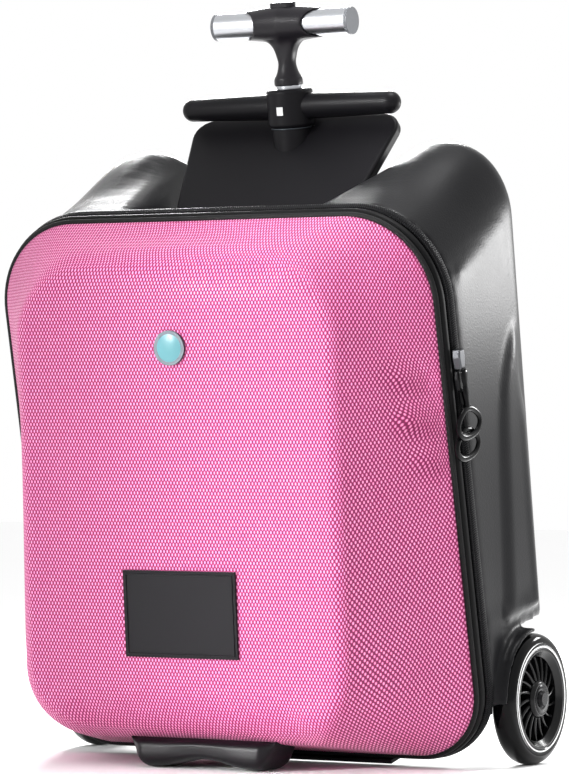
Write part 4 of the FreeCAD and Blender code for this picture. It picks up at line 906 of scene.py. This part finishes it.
def badge_dome():
    """The badge's bare disc as a shallow dome."""
    low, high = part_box("badge_disc")
    middle = TO_CASE @ ((low + high) / 2)
    radius = (high.x - low.x) / 2 / MM + DOME_LAP
    up = middle.z / math.cos(FRONT_LEAN)
    verts = []
    for k in range(1, DOME_RINGS + 1):
        r = radius * k / DOME_RINGS
        out = DOME_BASE + DOME_RISE * (1.0 - (k / DOME_RINGS) ** 2)
        for i in range(DOME_STEPS):
            a = 2 * math.pi * i / DOME_STEPS
            verts.append(on_front(middle.x + r * math.cos(a), up + r * math.sin(a), out))
    faces = loop_faces(DOME_RINGS, DOME_STEPS, False)
    faces.append(tuple(reversed(range(DOME_STEPS))))
    item = new_object("badge_dome", verts, faces, BLUE, "cover")
    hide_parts("badge_disc")


def soften_nodes():
    """Small roundings along the sharp edges of moulded nodes."""
    for name, width in SOFT_EDGES:
        bevel = nodes[name].modifiers.new("edge", "BEVEL")
        bevel.width = width * MM
        bevel.segments = 3
        bevel.limit_method = "ANGLE"
        bevel.angle_limit = SOFT_EDGE_ANGLE


# Studio

def studio():
    """Pale floor, white surroundings and the lamps."""
    floor_mesh = bpy.data.meshes.new("floor")
    corners = [(x * FLOOR_HALF, y * FLOOR_HALF, 0) for x, y in ((-1, -1), (1, -1), (1, 1), (-1, 1))]
    floor_mesh.from_pydata(corners, [], [(0, 1, 2, 3)])
    floor = bpy.data.objects.new("floor", floor_mesh)
    floor.data.materials.append(new_material("floor_paper", srgb(250, 250, 250), 0.9))
    bpy.context.scene.collection.objects.link(floor)
    world = bpy.data.worlds.new("studio")
    world.use_nodes = True
    world.node_tree.nodes["Background"].inputs["Color"].default_value = (1.0, 1.0, 1.0, 1.0)
    world.node_tree.nodes["Background"].inputs["Strength"].default_value = 1.0
    bpy.context.scene.world = world
    bpy.context.scene.view_settings.view_transform = "Standard"
    for name, place, aim, size, spread, power in LAMPS:
        lamp = bpy.data.lights.new(name, "AREA")
        lamp.shape = "RECTANGLE"
        lamp.size, lamp.size_y = size
        lamp.spread = math.radians(spread)
        lamp.energy = power
        item = bpy.data.objects.new(name, lamp)
        item.location = place
        item.rotation_mode = "QUATERNION"
        item.rotation_quaternion = (Vector(place) - Vector(aim)).to_track_quat("Z", "Y")
        bpy.context.scene.collection.objects.link(item)


def camera():
    """The camera, level and a little to the right of the front."""
    back = Vector((math.sin(CAMERA_AZIMUTH) * math.cos(CAMERA_PITCH),
                   -math.cos(CAMERA_AZIMUTH) * math.cos(CAMERA_PITCH), math.sin(CAMERA_PITCH)))
    data = bpy.data.cameras.new("photo_camera")
    data.sensor_width = SENSOR
    data.lens = SENSOR * FOCAL_PIXELS / PHOTO_LONG_SIDE
    data.clip_end = 100.0
    item = bpy.data.objects.new("photo_camera", data)
    item.location = CAMERA_TARGET + back * CAMERA_DISTANCE
    item.rotation_mode = "QUATERNION"
    item.rotation_quaternion = back.to_track_quat("Z", "Y")
    bpy.context.scene.collection.objects.link(item)
    bpy.context.scene.camera = item


camera()
studio()
dress_nodes()
soften_nodes()
soft_forms()
lobed_foot()
badge_dome()
pink_cover()
zip_trim()
zip_pulls()
for side, name in ((1, "right"), (-1, "left")):
    wheel_pieces(side, name)
sleeve_ring()
label_border()

bpy.context.view_layer.update()
